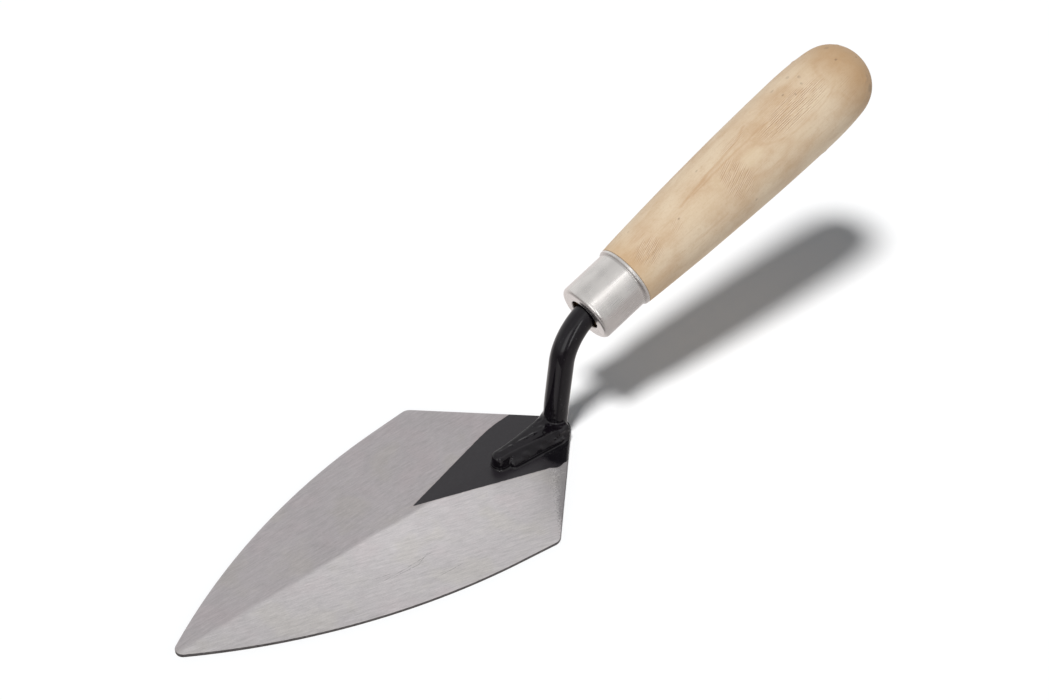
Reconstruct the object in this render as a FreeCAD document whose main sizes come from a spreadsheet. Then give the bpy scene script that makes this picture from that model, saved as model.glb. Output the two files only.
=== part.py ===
import FreeCAD, Part
import Sketcher
import math
import os
from FreeCAD import Vector as V, Rotation, Placement

# Brick trowel, millimetres.
# Frame: +Z up, +X from the handle towards the blade's tip, symmetric about Y = 0.
# The origin is on the flat underside of the blade, on its centreline, under its widest point.

os.makedirs("parts", exist_ok=True)
doc = FreeCAD.newDocument("brick_trowel")

# ---------------------------------------------------------------- dimensions
dims = doc.addObject("Spreadsheet::Sheet", "Dims")
TABLE = [
    # blade
    ("heel_length", 35.75, "unrounded heel corner to the widest line"),
    ("tip_length", 107.25, "widest line to the unrounded tip"),
    ("blade_width", 71.5, "across the unrounded shoulders"),
    ("straight_run", 13.68, "straight part of each long edge in front of the shoulder"),
    ("edge_radius", 205.06, "radius of each long curved edge"),
    ("heel_radius", 6.0, "rounding of the heel corner"),
    ("shoulder_radius", 3.2, "rounding of the shoulders"),
    ("tip_radius", 2.4, "rounding of the tip"),
    ("ridge_heel", 1.7, "blade thickness on the ridge at the heel corner"),
    ("ridge_tip", 1.1, "blade thickness on the ridge at the tip"),
    ("facet_slope", 0.0171, "fall of each ground facet per mm away from the ridge"),
    # shank
    ("rod_diameter", 7.4, "round rod of the shank"),
    ("bend_x", -32.51, "corner of the rod's centreline, X"),
    ("bend_z", 37.12, "corner of the rod's centreline, Z"),
    ("bend_radius", 18.0, "bend of the rod's centreline"),
    ("leg_lean", 6.7, "lean of the lower leg from upright, degrees"),
    ("handle_tilt", 20.45, "rise of the handle's axis, degrees"),
    ("tang_straight", 8.0, "full-diameter rod behind the ferrule's rear rim"),
    ("tang_taper", 38.0, "length of the tapered part of the tang"),
    ("tang_small", 3.8, "diameter at the small end of the taper"),
    ("tang_point", 4.0, "length of the blunt point"),
    ("tang_tip", 1.2, "diameter of the blunt point"),
    # foot
    ("flange_rear", -26.8, "X of the flanges' rear end"),
    ("flange_front", -7.9, "X of the flanges' front end"),
    ("flange_wide", 10.8, "width over the flanges at their rear"),
    ("flange_narrow", 8.8, "width over the flanges at their front"),
    ("flange_edge_z", 3.1, "Z of the flanges' outer top edge"),
    ("flange_root_z", 5.2, "Z where the flanges' sloping top runs into the rib"),
    ("flange_round", 0.8, "rounding of the flanges' outer edges"),
    ("flange_corner", 1.6, "rounding of the flanges' front corners seen from above"),
    ("rib_front", -3.9, "X of the rib's nose"),
    ("nose_width", 4.4, "width of the rib at its nose"),
    ("waist_x", -11.0, "X where the rib starts to widen towards the rod"),
    ("waist_width", 4.5, "width of the rib there"),
    ("rib_rear_x", -24.0, "X where the rib is widest, at the rod"),
    ("rib_rear_width", 6.9, "width of the rib there"),
    ("rib_top", 6.5, "Z of the rib's flat top"),
    ("rib_round", 0.9, "rounding of the rib's top edges"),
    ("nose_round", 2.0, "rounding of the nose seen from above"),
    ("root_diameter", 8.6, "diameter of the rod's thickened root on the blade"),
    ("root_height", 2.6, "height of the thickened root above the ridge"),
    # weld
    ("weld_leg", 0.9, "leg of the weld bead round the foot"),
    ("bead_rear", -32.95, "X of the bead's rear end, inside the rounded heel"),
    ("bead_corner", -31.0, "X of the bead's rear corners"),
    # ferrule
    ("rim_x", -55.95, "centre of the ferrule's rear rim, X"),
    ("rim_z", 45.85, "centre of the ferrule's rear rim, Z"),
    ("ferrule_length", 17.3, "front face to rear rim"),
    ("ferrule_diameter", 18.72, "outside of the ferrule's body"),
    ("rim_diameter", 20.1, "outside of the flared rear rim"),
    ("rim_length", 0.9, "length of the rim's outer band"),
    ("flare_length", 0.7, "length of the flare in front of it"),
    ("ferrule_wall", 0.85, "wall thickness"),
    ("mouth_diameter", 10.2, "hole in the front face"),
    ("front_round", 1.5, "outer rounding of the front face"),
    # handle
    ("handle_length", 99.85, "rear rim to the end of the butt"),
    ("shoulder_diameter", 20.2, "handle against the rim"),
    ("belly_x", 76.0, "rear rim to the end of the long swell"),
    ("belly_diameter", 26.72, "handle there"),
    ("swell_radius", 1300.0, "radius of the long swell"),
    ("tail_x", 90.0, "rear rim to the start of the domed butt"),
    ("tail_diameter", 24.8, "handle there"),
    ("tail_radius", 88.0, "radius between the swell and the dome"),
    ("dome_radius", 15.5, "radius of the dome's cap"),
    ("spigot_gap", 0.7, "front of the wood behind the inside of the ferrule's face"),
    ("mouth_bore", 8.8, "relieved mouth of the bore, clear of the bend"),
    ("mouth_depth", 3.2, "depth of the relieved mouth"),
    ("bore_end_gap", 2.5, "drilled depth past the tang's point"),
]
dims.set("A1", "alias")
dims.set("B1", "value")
dims.set("C1", "meaning")
for i, (alias, value, meaning) in enumerate(TABLE):
    row = i + 2
    dims.set("A%d" % row, alias)
    dims.set("B%d" % row, repr(value))
    dims.set("C%d" % row, meaning)
    dims.setAlias("B%d" % row, alias)
doc.recompute()


def d(alias):
    return float(dims.get(alias))


# ---------------------------------------------------------------- helpers
def plane(body, role):
    for feature in body.Origin.OriginFeatures:
        if feature.Role == role:
            return feature
    raise RuntimeError("no plane " + role)


def new_body(name):
    body = doc.addObject("PartDesign::Body", name)
    body.Label = name
    return body


def new_sketch(body, name, role):
    sk = body.newObject("Sketcher::SketchObject", name)
    sk.AttachmentSupport = [(plane(body, role), "")]
    sk.MapMode = "FlatFace"
    return sk


def line(sk, a, b):
    return sk.addGeometry(Part.LineSegment(V(a[0], a[1], 0), V(b[0], b[1], 0)), False)


def arc(sk, centre, radius, start, end):
    """counter-clockwise arc from the direction of start to the direction of end"""
    a0 = math.atan2(start[1] - centre[1], start[0] - centre[0])
    a1 = math.atan2(end[1] - centre[1], end[0] - centre[0])
    circle = Part.Circle(V(centre[0], centre[1], 0), V(0, 0, 1), radius)
    return sk.addGeometry(Part.ArcOfCircle(circle, a0, a1), False)


def bind(sk, kind, args, expr, value):
    """dimensional constraint with its value bound to the sheet"""
    index = sk.addConstraint(Sketcher.Constraint(kind, *args, value))
    sk.setExpression("Constraints[%d]" % index, expr)
    return index


def fix_point(sk, geo, pos, x_expr, y_expr):
    """point placed from the sketch's origin by two bound distances"""
    p = sk.getPoint(geo, pos)
    if x_expr == "0":
        sk.addConstraint(Sketcher.Constraint("PointOnObject", geo, pos, -2))
    else:
        bind(sk, "DistanceX", (-1, 1, geo, pos), x_expr, p.x)
    if y_expr == "0":
        sk.addConstraint(Sketcher.Constraint("PointOnObject", geo, pos, -1))
    else:
        bind(sk, "DistanceY", (-1, 1, geo, pos), y_expr, p.y)


def polygon(sk, points, exprs):
    """closed polygon, every corner bound"""
    ids = []
    n = len(points)
    for i in range(n):
        ids.append(line(sk, points[i], points[(i + 1) % n]))
    for i in range(n):
        sk.addConstraint(Sketcher.Constraint("Coincident", ids[i], 2, ids[(i + 1) % n], 1))
    for i in range(n):
        fix_point(sk, ids[i], 1, exprs[i][0], exprs[i][1])
    return ids


def names(feature, test):
    out = []
    for i, edge in enumerate(feature.Shape.Edges):
        if test(edge):
            out.append("Edge%d" % (i + 1))
    return out


def upright(edge):
    if len(edge.Vertexes) != 2:
        return False
    a, b = edge.Vertexes[0].Point, edge.Vertexes[1].Point
    return abs(a.x - b.x) < 1e-4 and abs(a.y - b.y) < 1e-4 and abs(a.z - b.z) > 0.1


def fillet(body, base, edges, alias, name):
    if not edges:
        raise RuntimeError("no edges for " + name)
    f = body.newObject("PartDesign::Fillet", name)
    f.Base = (base, edges)
    f.setExpression("Radius", "Dims." + alias)
    doc.recompute()
    return f


def ridge(x):
    t = (x + d("heel_length")) / (d("heel_length") + d("tip_length"))
    return d("ridge_heel") + (d("ridge_tip") - d("ridge_heel")) * t


RIDGE = ("(Dims.ridge_heel + (Dims.ridge_tip - Dims.ridge_heel) * (%s + Dims.heel_length)"
         " / (Dims.heel_length + Dims.tip_length))")


def facet_cut(body, name, x0, x1, half, far_z):
    """takes away all that lies on one side of the two ground facets of the blade,
    between x0 and x1 and out to +-half: above them if far_z is high, below if it is low"""
    sections = []
    for tag, x in (("heel", x0), ("tip", x1)):
        sk = new_sketch(body, "%s_%s" % (name, tag), "YZ_Plane")
        sk.AttachmentOffset = Placement(V(0, 0, x), Rotation())
        z = ridge(x)
        low = z - d("facet_slope") * half
        zx = RIDGE % x
        lx = "%s - Dims.facet_slope * %s" % (zx, half)
        pts = [(0, z), (half, low), (half, far_z), (-half, far_z), (-half, low)]
        polygon(sk, pts, [("0", zx), (str(half), lx), (str(half), str(far_z)),
                          (str(-half), str(far_z)), (str(-half), lx)])
        sections.append(sk)
    loft = body.newObject("PartDesign::SubtractiveLoft", name)
    loft.Profile = sections[0]
    loft.Sections = [sections[1]]
    loft.Ruled = True
    before = body.Shape.Volume if not body.Shape.isNull() else 0
    doc.recompute()
    if not (0 < loft.Shape.Volume < before - 1e-3):
        raise RuntimeError(name + " cut nothing")
    return loft


# ---------------------------------------------------------------- blade
# One flat plate: a kite with a right-angled heel, long edges that start straight and then
# curve to the tip, flat underneath and ground to two facets on top.
blade = new_body("blade")
sk = new_sketch(blade, "blade_outline", "XY_Plane")
hx, tx, hw = -d("heel_length"), d("tip_length"), d("blade_width") / 2
R = d("edge_radius")
sx = d("straight_run")
sy = 34.30
cx, cy = -7.996, -169.607          # first estimate of the curved edge's centre
a1 = line(sk, (hx, 0), (0, hw))
a2 = line(sk, (0, hw), (sx, sy))
a3 = arc(sk, (cx, cy), R, (tx, 0), (sx, sy))
b3 = arc(sk, (cx, -cy), R, (sx, -sy), (tx, 0))
b2 = line(sk, (sx, -sy), (0, -hw))
b1 = line(sk, (0, -hw), (hx, 0))
C = Sketcher.Constraint
sk.addConstraint(C("Coincident", a1, 2, a2, 1))
sk.addConstraint(C("Coincident", b2, 2, b1, 1))
sk.addConstraint(C("Coincident", b1, 2, a1, 1))
sk.addConstraint(C("Coincident", a3, 1, b3, 2))
sk.addConstraint(C("Tangent", a2, 2, a3, 2))
sk.addConstraint(C("Tangent", b2, 1, b3, 1))
fix_point(sk, a1, 1, "-Dims.heel_length", "0")
fix_point(sk, a3, 1, "Dims.tip_length", "0")
fix_point(sk, a2, 1, "0", "Dims.blade_width / 2")
fix_point(sk, b1, 1, "0", "-Dims.blade_width / 2")
bind(sk, "DistanceX", (-1, 1, a2, 2), "Dims.straight_run", sx)
bind(sk, "DistanceX", (-1, 1, b2, 1), "Dims.straight_run", sx)
bind(sk, "Radius", (a3,), "Dims.edge_radius", R)
bind(sk, "Radius", (b3,), "Dims.edge_radius", R)
doc.recompute()
pad = blade.newObject("PartDesign::Pad", "blade_plate")
pad.Profile = sk
pad.setExpression("Length", "Dims.ridge_heel")
doc.recompute()
f = fillet(blade, pad, names(pad, lambda e: upright(e) and e.CenterOfMass.x < hx + 1),
           "heel_radius", "blade_heel_round")
f = fillet(blade, f, names(f, lambda e: upright(e) and abs(e.CenterOfMass.y) > hw - 1),
           "shoulder_radius", "blade_shoulder_round")
f = fillet(blade, f, names(f, lambda e: upright(e) and e.CenterOfMass.x > tx - 1),
           "tip_radius", "blade_tip_round")
facet_cut(blade, "blade_facets", -45, 115, 45, 6)

# ---------------------------------------------------------------- shank
# One forging: foot (two low flanges and a rib that ends in a rounded nose), round rod with
# one bend, and the tapered tang that the handle hides.
shank = new_body("shank")
base_z = 0.6                        # the foot is drawn through the facets and trimmed to them

fr, ff = d("flange_rear"), d("flange_front")
w1, w2 = d("flange_wide") / 2, d("flange_narrow") / 2
ez, rz = d("flange_edge_z"), d("flange_root_z")
sk = new_sketch(shank, "flange_outline", "XY_Plane")
sk.AttachmentOffset = Placement(V(0, 0, base_z), Rotation())
polygon(sk, [(fr, -w1), (ff, -w2), (ff, w2), (fr, w1)],
        [("Dims.flange_rear", "-Dims.flange_wide / 2"),
         ("Dims.flange_front", "-Dims.flange_narrow / 2"),
         ("Dims.flange_front", "Dims.flange_narrow / 2"),
         ("Dims.flange_rear", "Dims.flange_wide / 2")])
flange = shank.newObject("PartDesign::Pad", "flanges")
flange.Profile = sk
flange.setExpression("Length", "Dims.flange_root_z - %s" % base_z)
doc.recompute()
f = fillet(shank, flange,
           names(flange, lambda e: upright(e) and abs(e.CenterOfMass.x - ff) < 0.01),
           "flange_corner", "flange_corner_round")

# the flanges' tops fall away from the rib to their outer edges
sections = []
for tag, x, w, r, walias, ralias in (
        ("rear", fr - 1, w1, 3.6, "Dims.flange_wide / 2", "Dims.rib_rear_width / 2 + 0.15"),
        ("front", ff + 1, w2, 2.4, "Dims.flange_narrow / 2", "Dims.waist_width / 2 + 0.15")):
    sk = new_sketch(shank, "flange_fall_" + tag, "YZ_Plane")
    sk.AttachmentOffset = Placement(V(0, 0, x), Rotation())
    high = rz + 2
    out = w + 2
    low = ez - 2 * (rz - ez) / (w - r)
    slope = "(Dims.flange_root_z - Dims.flange_edge_z) / (%s - (%s))" % (walias, ralias)
    lowx = "Dims.flange_edge_z - 2 * " + slope
    polygon(sk, [(r, rz), (out, low), (out, high), (-out, high), (-out, low), (-r, rz)],
            [(ralias, "Dims.flange_root_z"), (walias + " + 2", lowx),
             (walias + " + 2", "Dims.flange_root_z + 2"),
             ("-(%s) - 2" % walias, "Dims.flange_root_z + 2"), ("-(%s) - 2" % walias, lowx),
             ("-(%s)" % ralias, "Dims.flange_root_z")])
    sections.append(sk)
fall = shank.newObject("PartDesign::SubtractiveLoft", "flange_fall")
fall.Profile = sections[0]
fall.Sections = [sections[1]]
fall.Ruled = True
before = shank.Shape.Volume
doc.recompute()
if not (0 < fall.Shape.Volume < before - 1e-3):
    raise RuntimeError("flange_fall cut nothing")


def flange_edge(e):
    b = e.BoundBox
    return b.XLength > 5 and b.YLength < 1.6 and b.ZMax < ez + 0.6 and b.ZMin > ez - 0.6


f = fillet(shank, fall, names(fall, flange_edge), "flange_round", "flange_edge_round")

sk = new_sketch(shank, "rib_outline", "XY_Plane")
sk.AttachmentOffset = Placement(V(0, 0, base_z), Rotation())
nx, wx, rx, nz = d("rib_front"), d("waist_x"), d("rib_rear_x"), d("rib_top")
nw, ww, rw = d("nose_width") / 2, d("waist_width") / 2, d("rib_rear_width") / 2
polygon(sk, [(-29, -rw), (rx, -rw), (wx, -ww), (nx, -nw), (nx, nw), (wx, ww), (rx, rw), (-29, rw)],
        [("-29", "-Dims.rib_rear_width / 2"), ("Dims.rib_rear_x", "-Dims.rib_rear_width / 2"),
         ("Dims.waist_x", "-Dims.waist_width / 2"), ("Dims.rib_front", "-Dims.nose_width / 2"),
         ("Dims.rib_front", "Dims.nose_width / 2"), ("Dims.waist_x", "Dims.waist_width / 2"),
         ("Dims.rib_rear_x", "Dims.rib_rear_width / 2"), ("-29", "Dims.rib_rear_width / 2")])
rib = shank.newObject("PartDesign::Pad", "rib")
rib.Profile = sk
rib.setExpression("Length", "Dims.rib_top - %s" % base_z)
doc.recompute()
f = fillet(shank, rib, names(rib, lambda e: upright(e) and abs(e.CenterOfMass.x - nx) < 0.01),
           "nose_round", "nose_upright_round")


def rib_top_edge(e):
    b = e.BoundBox
    return b.ZMin > nz - 0.02 and b.XMax > -28.9


f = fillet(shank, f, names(f, rib_top_edge), "rib_round", "rib_top_round")

# rod: leg, bend and the straight stretch that enters the handle
lean = math.radians(d("leg_lean"))
tilt = math.radians(d("handle_tilt"))
bx, bz, br = d("bend_x"), d("bend_z"), d("bend_radius")
down = V(math.sin(lean), 0, -math.cos(lean))
back = V(-math.cos(tilt), 0, math.sin(tilt))
turn = math.pi - math.acos(down.dot(back))
run = br * math.tan(turn / 2)
corner = V(bx, 0, bz)
foot_end = corner + down * ((bz - base_z) / math.cos(lean))
q1 = corner + down * run
q2 = corner + back * run
rim = V(d("rim_x"), 0, d("rim_z"))
rod_end = rim + back * d("tang_straight")
mid_dir = (q1 - corner).normalize() + (q2 - corner).normalize()
mid_dir.normalize()
bend_centre = corner + mid_dir * (br / math.cos(turn / 2))
sk = new_sketch(shank, "rod_path", "XZ_Plane")
l1 = line(sk, (foot_end.x, foot_end.z), (q1.x, q1.z))
arc_id = arc(sk, (bend_centre.x, bend_centre.z), br, (q1.x, q1.z), (q2.x, q2.z))
l2 = line(sk, (q2.x, q2.z), (rod_end.x, rod_end.z))
sk.addConstraint(C("Tangent", l1, 2, arc_id, 1))
sk.addConstraint(C("Tangent", arc_id, 2, l2, 1))
bind(sk, "Radius", (arc_id,), "Dims.bend_radius", br)
bind(sk, "DistanceY", (-1, 1, l1, 1), str(base_z), foot_end.z)
bind(sk, "DistanceX", (-1, 1, l1, 1),
     "Dims.bend_x + (Dims.bend_z - %s) * tan(Dims.leg_lean * 1 deg)" % base_z, foot_end.x)
bind(sk, "DistanceX", (-1, 1, l2, 2),
     "Dims.rim_x - Dims.tang_straight * cos(Dims.handle_tilt * 1 deg)", rod_end.x)
bind(sk, "DistanceY", (-1, 1, l2, 2),
     "Dims.rim_z + Dims.tang_straight * sin(Dims.handle_tilt * 1 deg)", rod_end.z)
bind(sk, "DistanceX", (-1, 1, arc_id, 1),
     "Dims.bend_x + %r * sin(Dims.leg_lean * 1 deg)" % run, q1.x)
path = sk
sk = new_sketch(shank, "rod_section", "XY_Plane")
sk.AttachmentOffset = Placement(foot_end, Rotation(V(0, 1, 0), -math.degrees(lean)))
circle = sk.addGeometry(Part.Circle(V(0, 0, 0), V(0, 0, 1), d("rod_diameter") / 2), False)
sk.addConstraint(C("Coincident", circle, 3, -1, 1))
bind(sk, "Diameter", (circle,), "Dims.rod_diameter", d("rod_diameter"))
rod = shank.newObject("PartDesign::AdditivePipe", "rod")
rod.Profile = sk
rod.Spine = (path, ["Edge1", "Edge2", "Edge3"])
doc.recompute()

# thickened root of the rod on the blade
root = shank.newObject("PartDesign::AdditiveCone", "rod_root")
root.AttachmentSupport = [(plane(shank, "XY_Plane"), "")]
root.MapMode = "FlatFace"
root.AttachmentOffset = Placement(foot_end, Rotation(V(0, 1, 0), -math.degrees(lean)))
root.setExpression("Radius1", "Dims.root_diameter / 2")
root.setExpression("Radius2", "Dims.rod_diameter / 2")
root.setExpression("Height", "Dims.root_height + Dims.ridge_heel - %s" % base_z)
doc.recompute()

# tang, turned about the handle's axis
sk = new_sketch(shank, "tang_profile", "XZ_Plane")
sk.AttachmentOffset = Placement(V(rim.x, rim.z, 0), Rotation(V(0, 0, 1), 180 - d("handle_tilt")))
sk.setExpression("AttachmentOffset.Base.x", "Dims.rim_x")
sk.setExpression("AttachmentOffset.Base.y", "Dims.rim_z")
x0 = d("tang_straight")
x1 = x0 + d("tang_taper")
x2 = x1 + d("tang_point")
polygon(sk, [(x0 - 1, 0), (x2, 0), (x2, -d("tang_tip") / 2), (x1, -d("tang_small") / 2),
             (x0, -d("rod_diameter") / 2), (x0 - 1, -d("rod_diameter") / 2)],
        [("Dims.tang_straight - 1", "0"),
         ("Dims.tang_straight + Dims.tang_taper + Dims.tang_point", "0"),
         ("Dims.tang_straight + Dims.tang_taper + Dims.tang_point", "-Dims.tang_tip / 2"),
         ("Dims.tang_straight + Dims.tang_taper", "-Dims.tang_small / 2"),
         ("Dims.tang_straight", "-Dims.rod_diameter / 2"),
         ("Dims.tang_straight - 1", "-Dims.rod_diameter / 2")])
tang = shank.newObject("PartDesign::Revolution", "tang")
tang.Profile = sk
tang.ReferenceAxis = (sk, ["H_Axis"])
tang.Angle = 360
doc.recompute()
facet_cut(shank, "foot_seat", -45, 115, 20, -6)

# ---------------------------------------------------------------- foot weld
# Bead round the foot: an outline a little larger than the foot, bevelled on top, trimmed to
# the blade's facets and opened where the foot stands.
bead = new_body("foot_bead")
leg = d("weld_leg")
sk = new_sketch(bead, "bead_outline", "XY_Plane")
sk.AttachmentOffset = Placement(V(0, 0, base_z), Rotation())
br_, bc_ = d("bead_rear"), d("bead_corner")
polygon(sk, [(br_, -1.2), (bc_, -4.0), (fr + 2.4, -w1 - leg), (ff + leg, -w2 - leg * 0.8),
             (ff + leg + 0.3, -2.6 - leg), (nx + leg - 1.5, -2.6 - leg * 0.7), (nx + leg, -1.2 - leg * 0.3),
             (nx + leg, 1.2 + leg * 0.3), (nx + leg - 1.5, 2.6 + leg * 0.7), (ff + leg + 0.3, 2.6 + leg),
             (ff + leg, w2 + leg * 0.8), (fr + 2.4, w1 + leg), (bc_, 4.0), (br_, 1.2)],
        [("Dims.bead_rear", "-1.2"),
         ("Dims.bead_corner", "-4.0"),
         ("Dims.flange_rear + 2.4", "-Dims.flange_wide / 2 - Dims.weld_leg"),
         ("Dims.flange_front + Dims.weld_leg", "-Dims.flange_narrow / 2 - Dims.weld_leg * 0.8"),
         ("Dims.flange_front + Dims.weld_leg + 0.3", "-2.6 - Dims.weld_leg"),
         ("Dims.rib_front + Dims.weld_leg - 1.5", "-2.6 - Dims.weld_leg * 0.7"),
         ("Dims.rib_front + Dims.weld_leg", "-1.2 - Dims.weld_leg * 0.3"),
         ("Dims.rib_front + Dims.weld_leg", "1.2 + Dims.weld_leg * 0.3"),
         ("Dims.rib_front + Dims.weld_leg - 1.5", "2.6 + Dims.weld_leg * 0.7"),
         ("Dims.flange_front + Dims.weld_leg + 0.3", "2.6 + Dims.weld_leg"),
         ("Dims.flange_front + Dims.weld_leg", "Dims.flange_narrow / 2 + Dims.weld_leg * 0.8"),
         ("Dims.flange_rear + 2.4", "Dims.flange_wide / 2 + Dims.weld_leg"),
         ("Dims.bead_corner", "4.0"),
         ("Dims.bead_rear", "1.2")])
pad = bead.newObject("PartDesign::Pad", "bead_pad")
pad.Profile = sk
pad.setExpression("Length", "Dims.ridge_heel + Dims.weld_leg - %s" % base_z)
doc.recompute()
top = d("ridge_heel") + leg
ch = bead.newObject("PartDesign::Chamfer", "bead_bevel")
ch.Base = (pad, names(pad, lambda e: e.BoundBox.ZMin > top - 1e-3))
ch.setExpression("Size", "Dims.weld_leg * 0.85")
doc.recompute()
facet_cut(bead, "bead_seat", -45, 115, 20, -6)

# the foot's own volume, as a plain tool, so that the bead only touches it
weld = doc.addObject("Part::Cut", "foot_weld")
weld.Base = bead
weld.Tool = shank
weld.Label = "foot_weld"
doc.recompute()

# ---------------------------------------------------------------- ferrule
# Pressed cup, drawn along its own X axis: rear rim at 0, closed front with a round mouth.
ferrule = new_body("ferrule")
sk = new_sketch(ferrule, "ferrule_section", "XZ_Plane")
FL, FR, RR_ = d("ferrule_length"), d("ferrule_diameter") / 2, d("rim_diameter") / 2
W_, MR, FRD = d("ferrule_wall"), d("mouth_diameter") / 2, d("front_round")
RL, FLR = d("rim_length"), d("flare_length")
pts = [(0, RR_), (-RL, RR_), (-RL - FLR, FR), (-FL + FRD, FR), (-FL, FR - FRD), (-FL, MR),
       (-FL + W_, MR), (-FL + W_, FR - FRD), (-FL + FRD, FR - W_), (-RL - FLR, FR - W_),
       (-RL, RR_ - W_), (0, RR_ - W_)]
ids = []
for i in range(len(pts)):
    p, q = pts[i], pts[(i + 1) % len(pts)]
    if i == 3:
        ids.append(arc(sk, (-FL + FRD, FR - FRD), FRD, p, q))
    elif i == 7:
        ids.append(arc(sk, (-FL + FRD, FR - FRD), FRD - W_, q, p))
    else:
        ids.append(line(sk, p, q))
START = {7: 2}
END = {7: 1}
for i in range(len(pts)):
    j = (i + 1) % len(pts)
    sk.addConstraint(C("Coincident", ids[i], END.get(i, 2), ids[j], START.get(j, 1)))
L_, D_, RD_, WL_ = "Dims.ferrule_length", "Dims.ferrule_diameter / 2", "Dims.rim_diameter / 2", "Dims.ferrule_wall"
EX = [("0", RD_), ("-Dims.rim_length", RD_), ("-Dims.rim_length - Dims.flare_length", D_),
      ("-%s + Dims.front_round" % L_, D_), ("-" + L_, D_ + " - Dims.front_round"),
      ("-" + L_, "Dims.mouth_diameter / 2"), ("-%s + %s" % (L_, WL_), "Dims.mouth_diameter / 2"),
      ("-%s + %s" % (L_, WL_), D_ + " - Dims.front_round"),
      ("-%s + Dims.front_round" % L_, "%s - %s" % (D_, WL_)),
      ("-Dims.rim_length - Dims.flare_length", "%s - %s" % (D_, WL_)),
      ("-Dims.rim_length", "%s - %s" % (RD_, WL_)), ("0", "%s - %s" % (RD_, WL_))]
for i, (xe, ye) in enumerate(EX):
    fix_point(sk, ids[i], START.get(i, 1), xe, ye)
bind(sk, "Radius", (ids[3],), "Dims.front_round", FRD)
bind(sk, "Radius", (ids[7],), "Dims.front_round - Dims.ferrule_wall", FRD - W_)
rev = ferrule.newObject("PartDesign::Revolution", "ferrule_turn")
rev.Profile = sk
rev.ReferenceAxis = (sk, ["H_Axis"])
rev.Angle = 360
doc.recompute()

# ---------------------------------------------------------------- handle
# Turned along its own X axis: shoulder against the rear rim at 0, spigot in front of it.
handle = new_body("handle")
sk = new_sketch(handle, "handle_profile", "XZ_Plane")
HL, SR = d("handle_length"), d("shoulder_diameter") / 2
BX, BR, TX, TR = d("belly_x"), d("belly_diameter") / 2, d("tail_x"), d("tail_diameter") / 2
SWR, TLR, DMR = d("swell_radius"), d("tail_radius"), d("dome_radius")
spig = -FL + W_ + d("spigot_gap")


def centre_below(p, q, radius):
    """centre of the arc from p to q that bulges away from the axis"""
    m = ((p[0] + q[0]) / 2, (p[1] + q[1]) / 2)
    dx, dy = q[0] - p[0], q[1] - p[1]
    half = math.hypot(dx, dy) / 2
    k = math.sqrt(radius * radius - half * half) / (2 * half)
    c = (m[0] + dy * k, m[1] - dx * k)
    if c[1] > m[1]:
        c = (m[0] - dy * k, m[1] + dx * k)
    return c


ca = centre_below((0, SR), (BX, BR), SWR)
cb = centre_below((BX, BR), (TX, TR), TLR)
# corner arc: tangent to the tail arc at its end and to the cap inside it
nrm = ((cb[0] - TX) / TLR, (cb[1] - TR) / TLR)
cap_c = (HL - DMR, 0.0)
ex, ey = TX - cap_c[0], TR
rc = (DMR ** 2 - ex * ex - ey * ey) / (2 * (DMR + ex * nrm[0] + ey * nrm[1]))
cc = (TX + nrm[0] * rc, TR + nrm[1] * rc)
u = math.hypot(cc[0] - cap_c[0], cc[1])
cap_q = (cap_c[0] + (cc[0] - cap_c[0]) / u * DMR, cc[1] / u * DMR)
g = []
g.append(line(sk, (spig, 0), (spig, FR - W_)))
g.append(line(sk, (spig, FR - W_), (-RL - FLR, FR - W_)))
g.append(line(sk, (-RL - FLR, FR - W_), (-RL, RR_ - W_)))
g.append(line(sk, (-RL, RR_ - W_), (0, RR_ - W_)))
g.append(line(sk, (0, RR_ - W_), (0, SR)))
ga = arc(sk, ca, SWR, (BX, BR), (0, SR))
gb = arc(sk, cb, TLR, (TX, TR), (BX, BR))
gc = arc(sk, cc, rc, cap_q, (TX, TR))
gd = arc(sk, cap_c, DMR, (HL, 0), cap_q)
ge = line(sk, (HL, 0), (spig, 0))
for i in range(4):
    sk.addConstraint(C("Coincident", g[i], 2, g[i + 1], 1))
sk.addConstraint(C("Coincident", g[4], 2, ga, 2))
sk.addConstraint(C("Coincident", ga, 1, gb, 2))
sk.addConstraint(C("Tangent", gb, 1, gc, 2))
sk.addConstraint(C("Tangent", gc, 1, gd, 2))
sk.addConstraint(C("Coincident", gd, 1, ge, 1))
sk.addConstraint(C("Coincident", ge, 2, g[0], 1))
SPX = "-Dims.ferrule_length + Dims.ferrule_wall + Dims.spigot_gap"
SPR = "Dims.ferrule_diameter / 2 - Dims.ferrule_wall"
fix_point(sk, g[0], 1, SPX, "0")
fix_point(sk, g[1], 1, SPX, SPR)
fix_point(sk, g[2], 1, "-Dims.rim_length - Dims.flare_length", SPR)
fix_point(sk, g[3], 1, "-Dims.rim_length", "Dims.rim_diameter / 2 - Dims.ferrule_wall")
fix_point(sk, g[4], 1, "0", "Dims.rim_diameter / 2 - Dims.ferrule_wall")
fix_point(sk, ga, 2, "0", "Dims.shoulder_diameter / 2")
fix_point(sk, ga, 1, "Dims.belly_x", "Dims.belly_diameter / 2")
fix_point(sk, gb, 1, "Dims.tail_x", "Dims.tail_diameter / 2")
fix_point(sk, gd, 1, "Dims.handle_length", "0")
sk.addConstraint(C("PointOnObject", gd, 3, -1))
bind(sk, "Radius", (ga,), "Dims.swell_radius", SWR)
bind(sk, "Radius", (gb,), "Dims.tail_radius", TLR)
bind(sk, "Radius", (gd,), "Dims.dome_radius", DMR)
rev = handle.newObject("PartDesign::Revolution", "handle_turn")
rev.Profile = sk
rev.ReferenceAxis = (sk, ["H_Axis"])
rev.Angle = 360
doc.recompute()
solid_volume = rev.Shape.Volume

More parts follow.
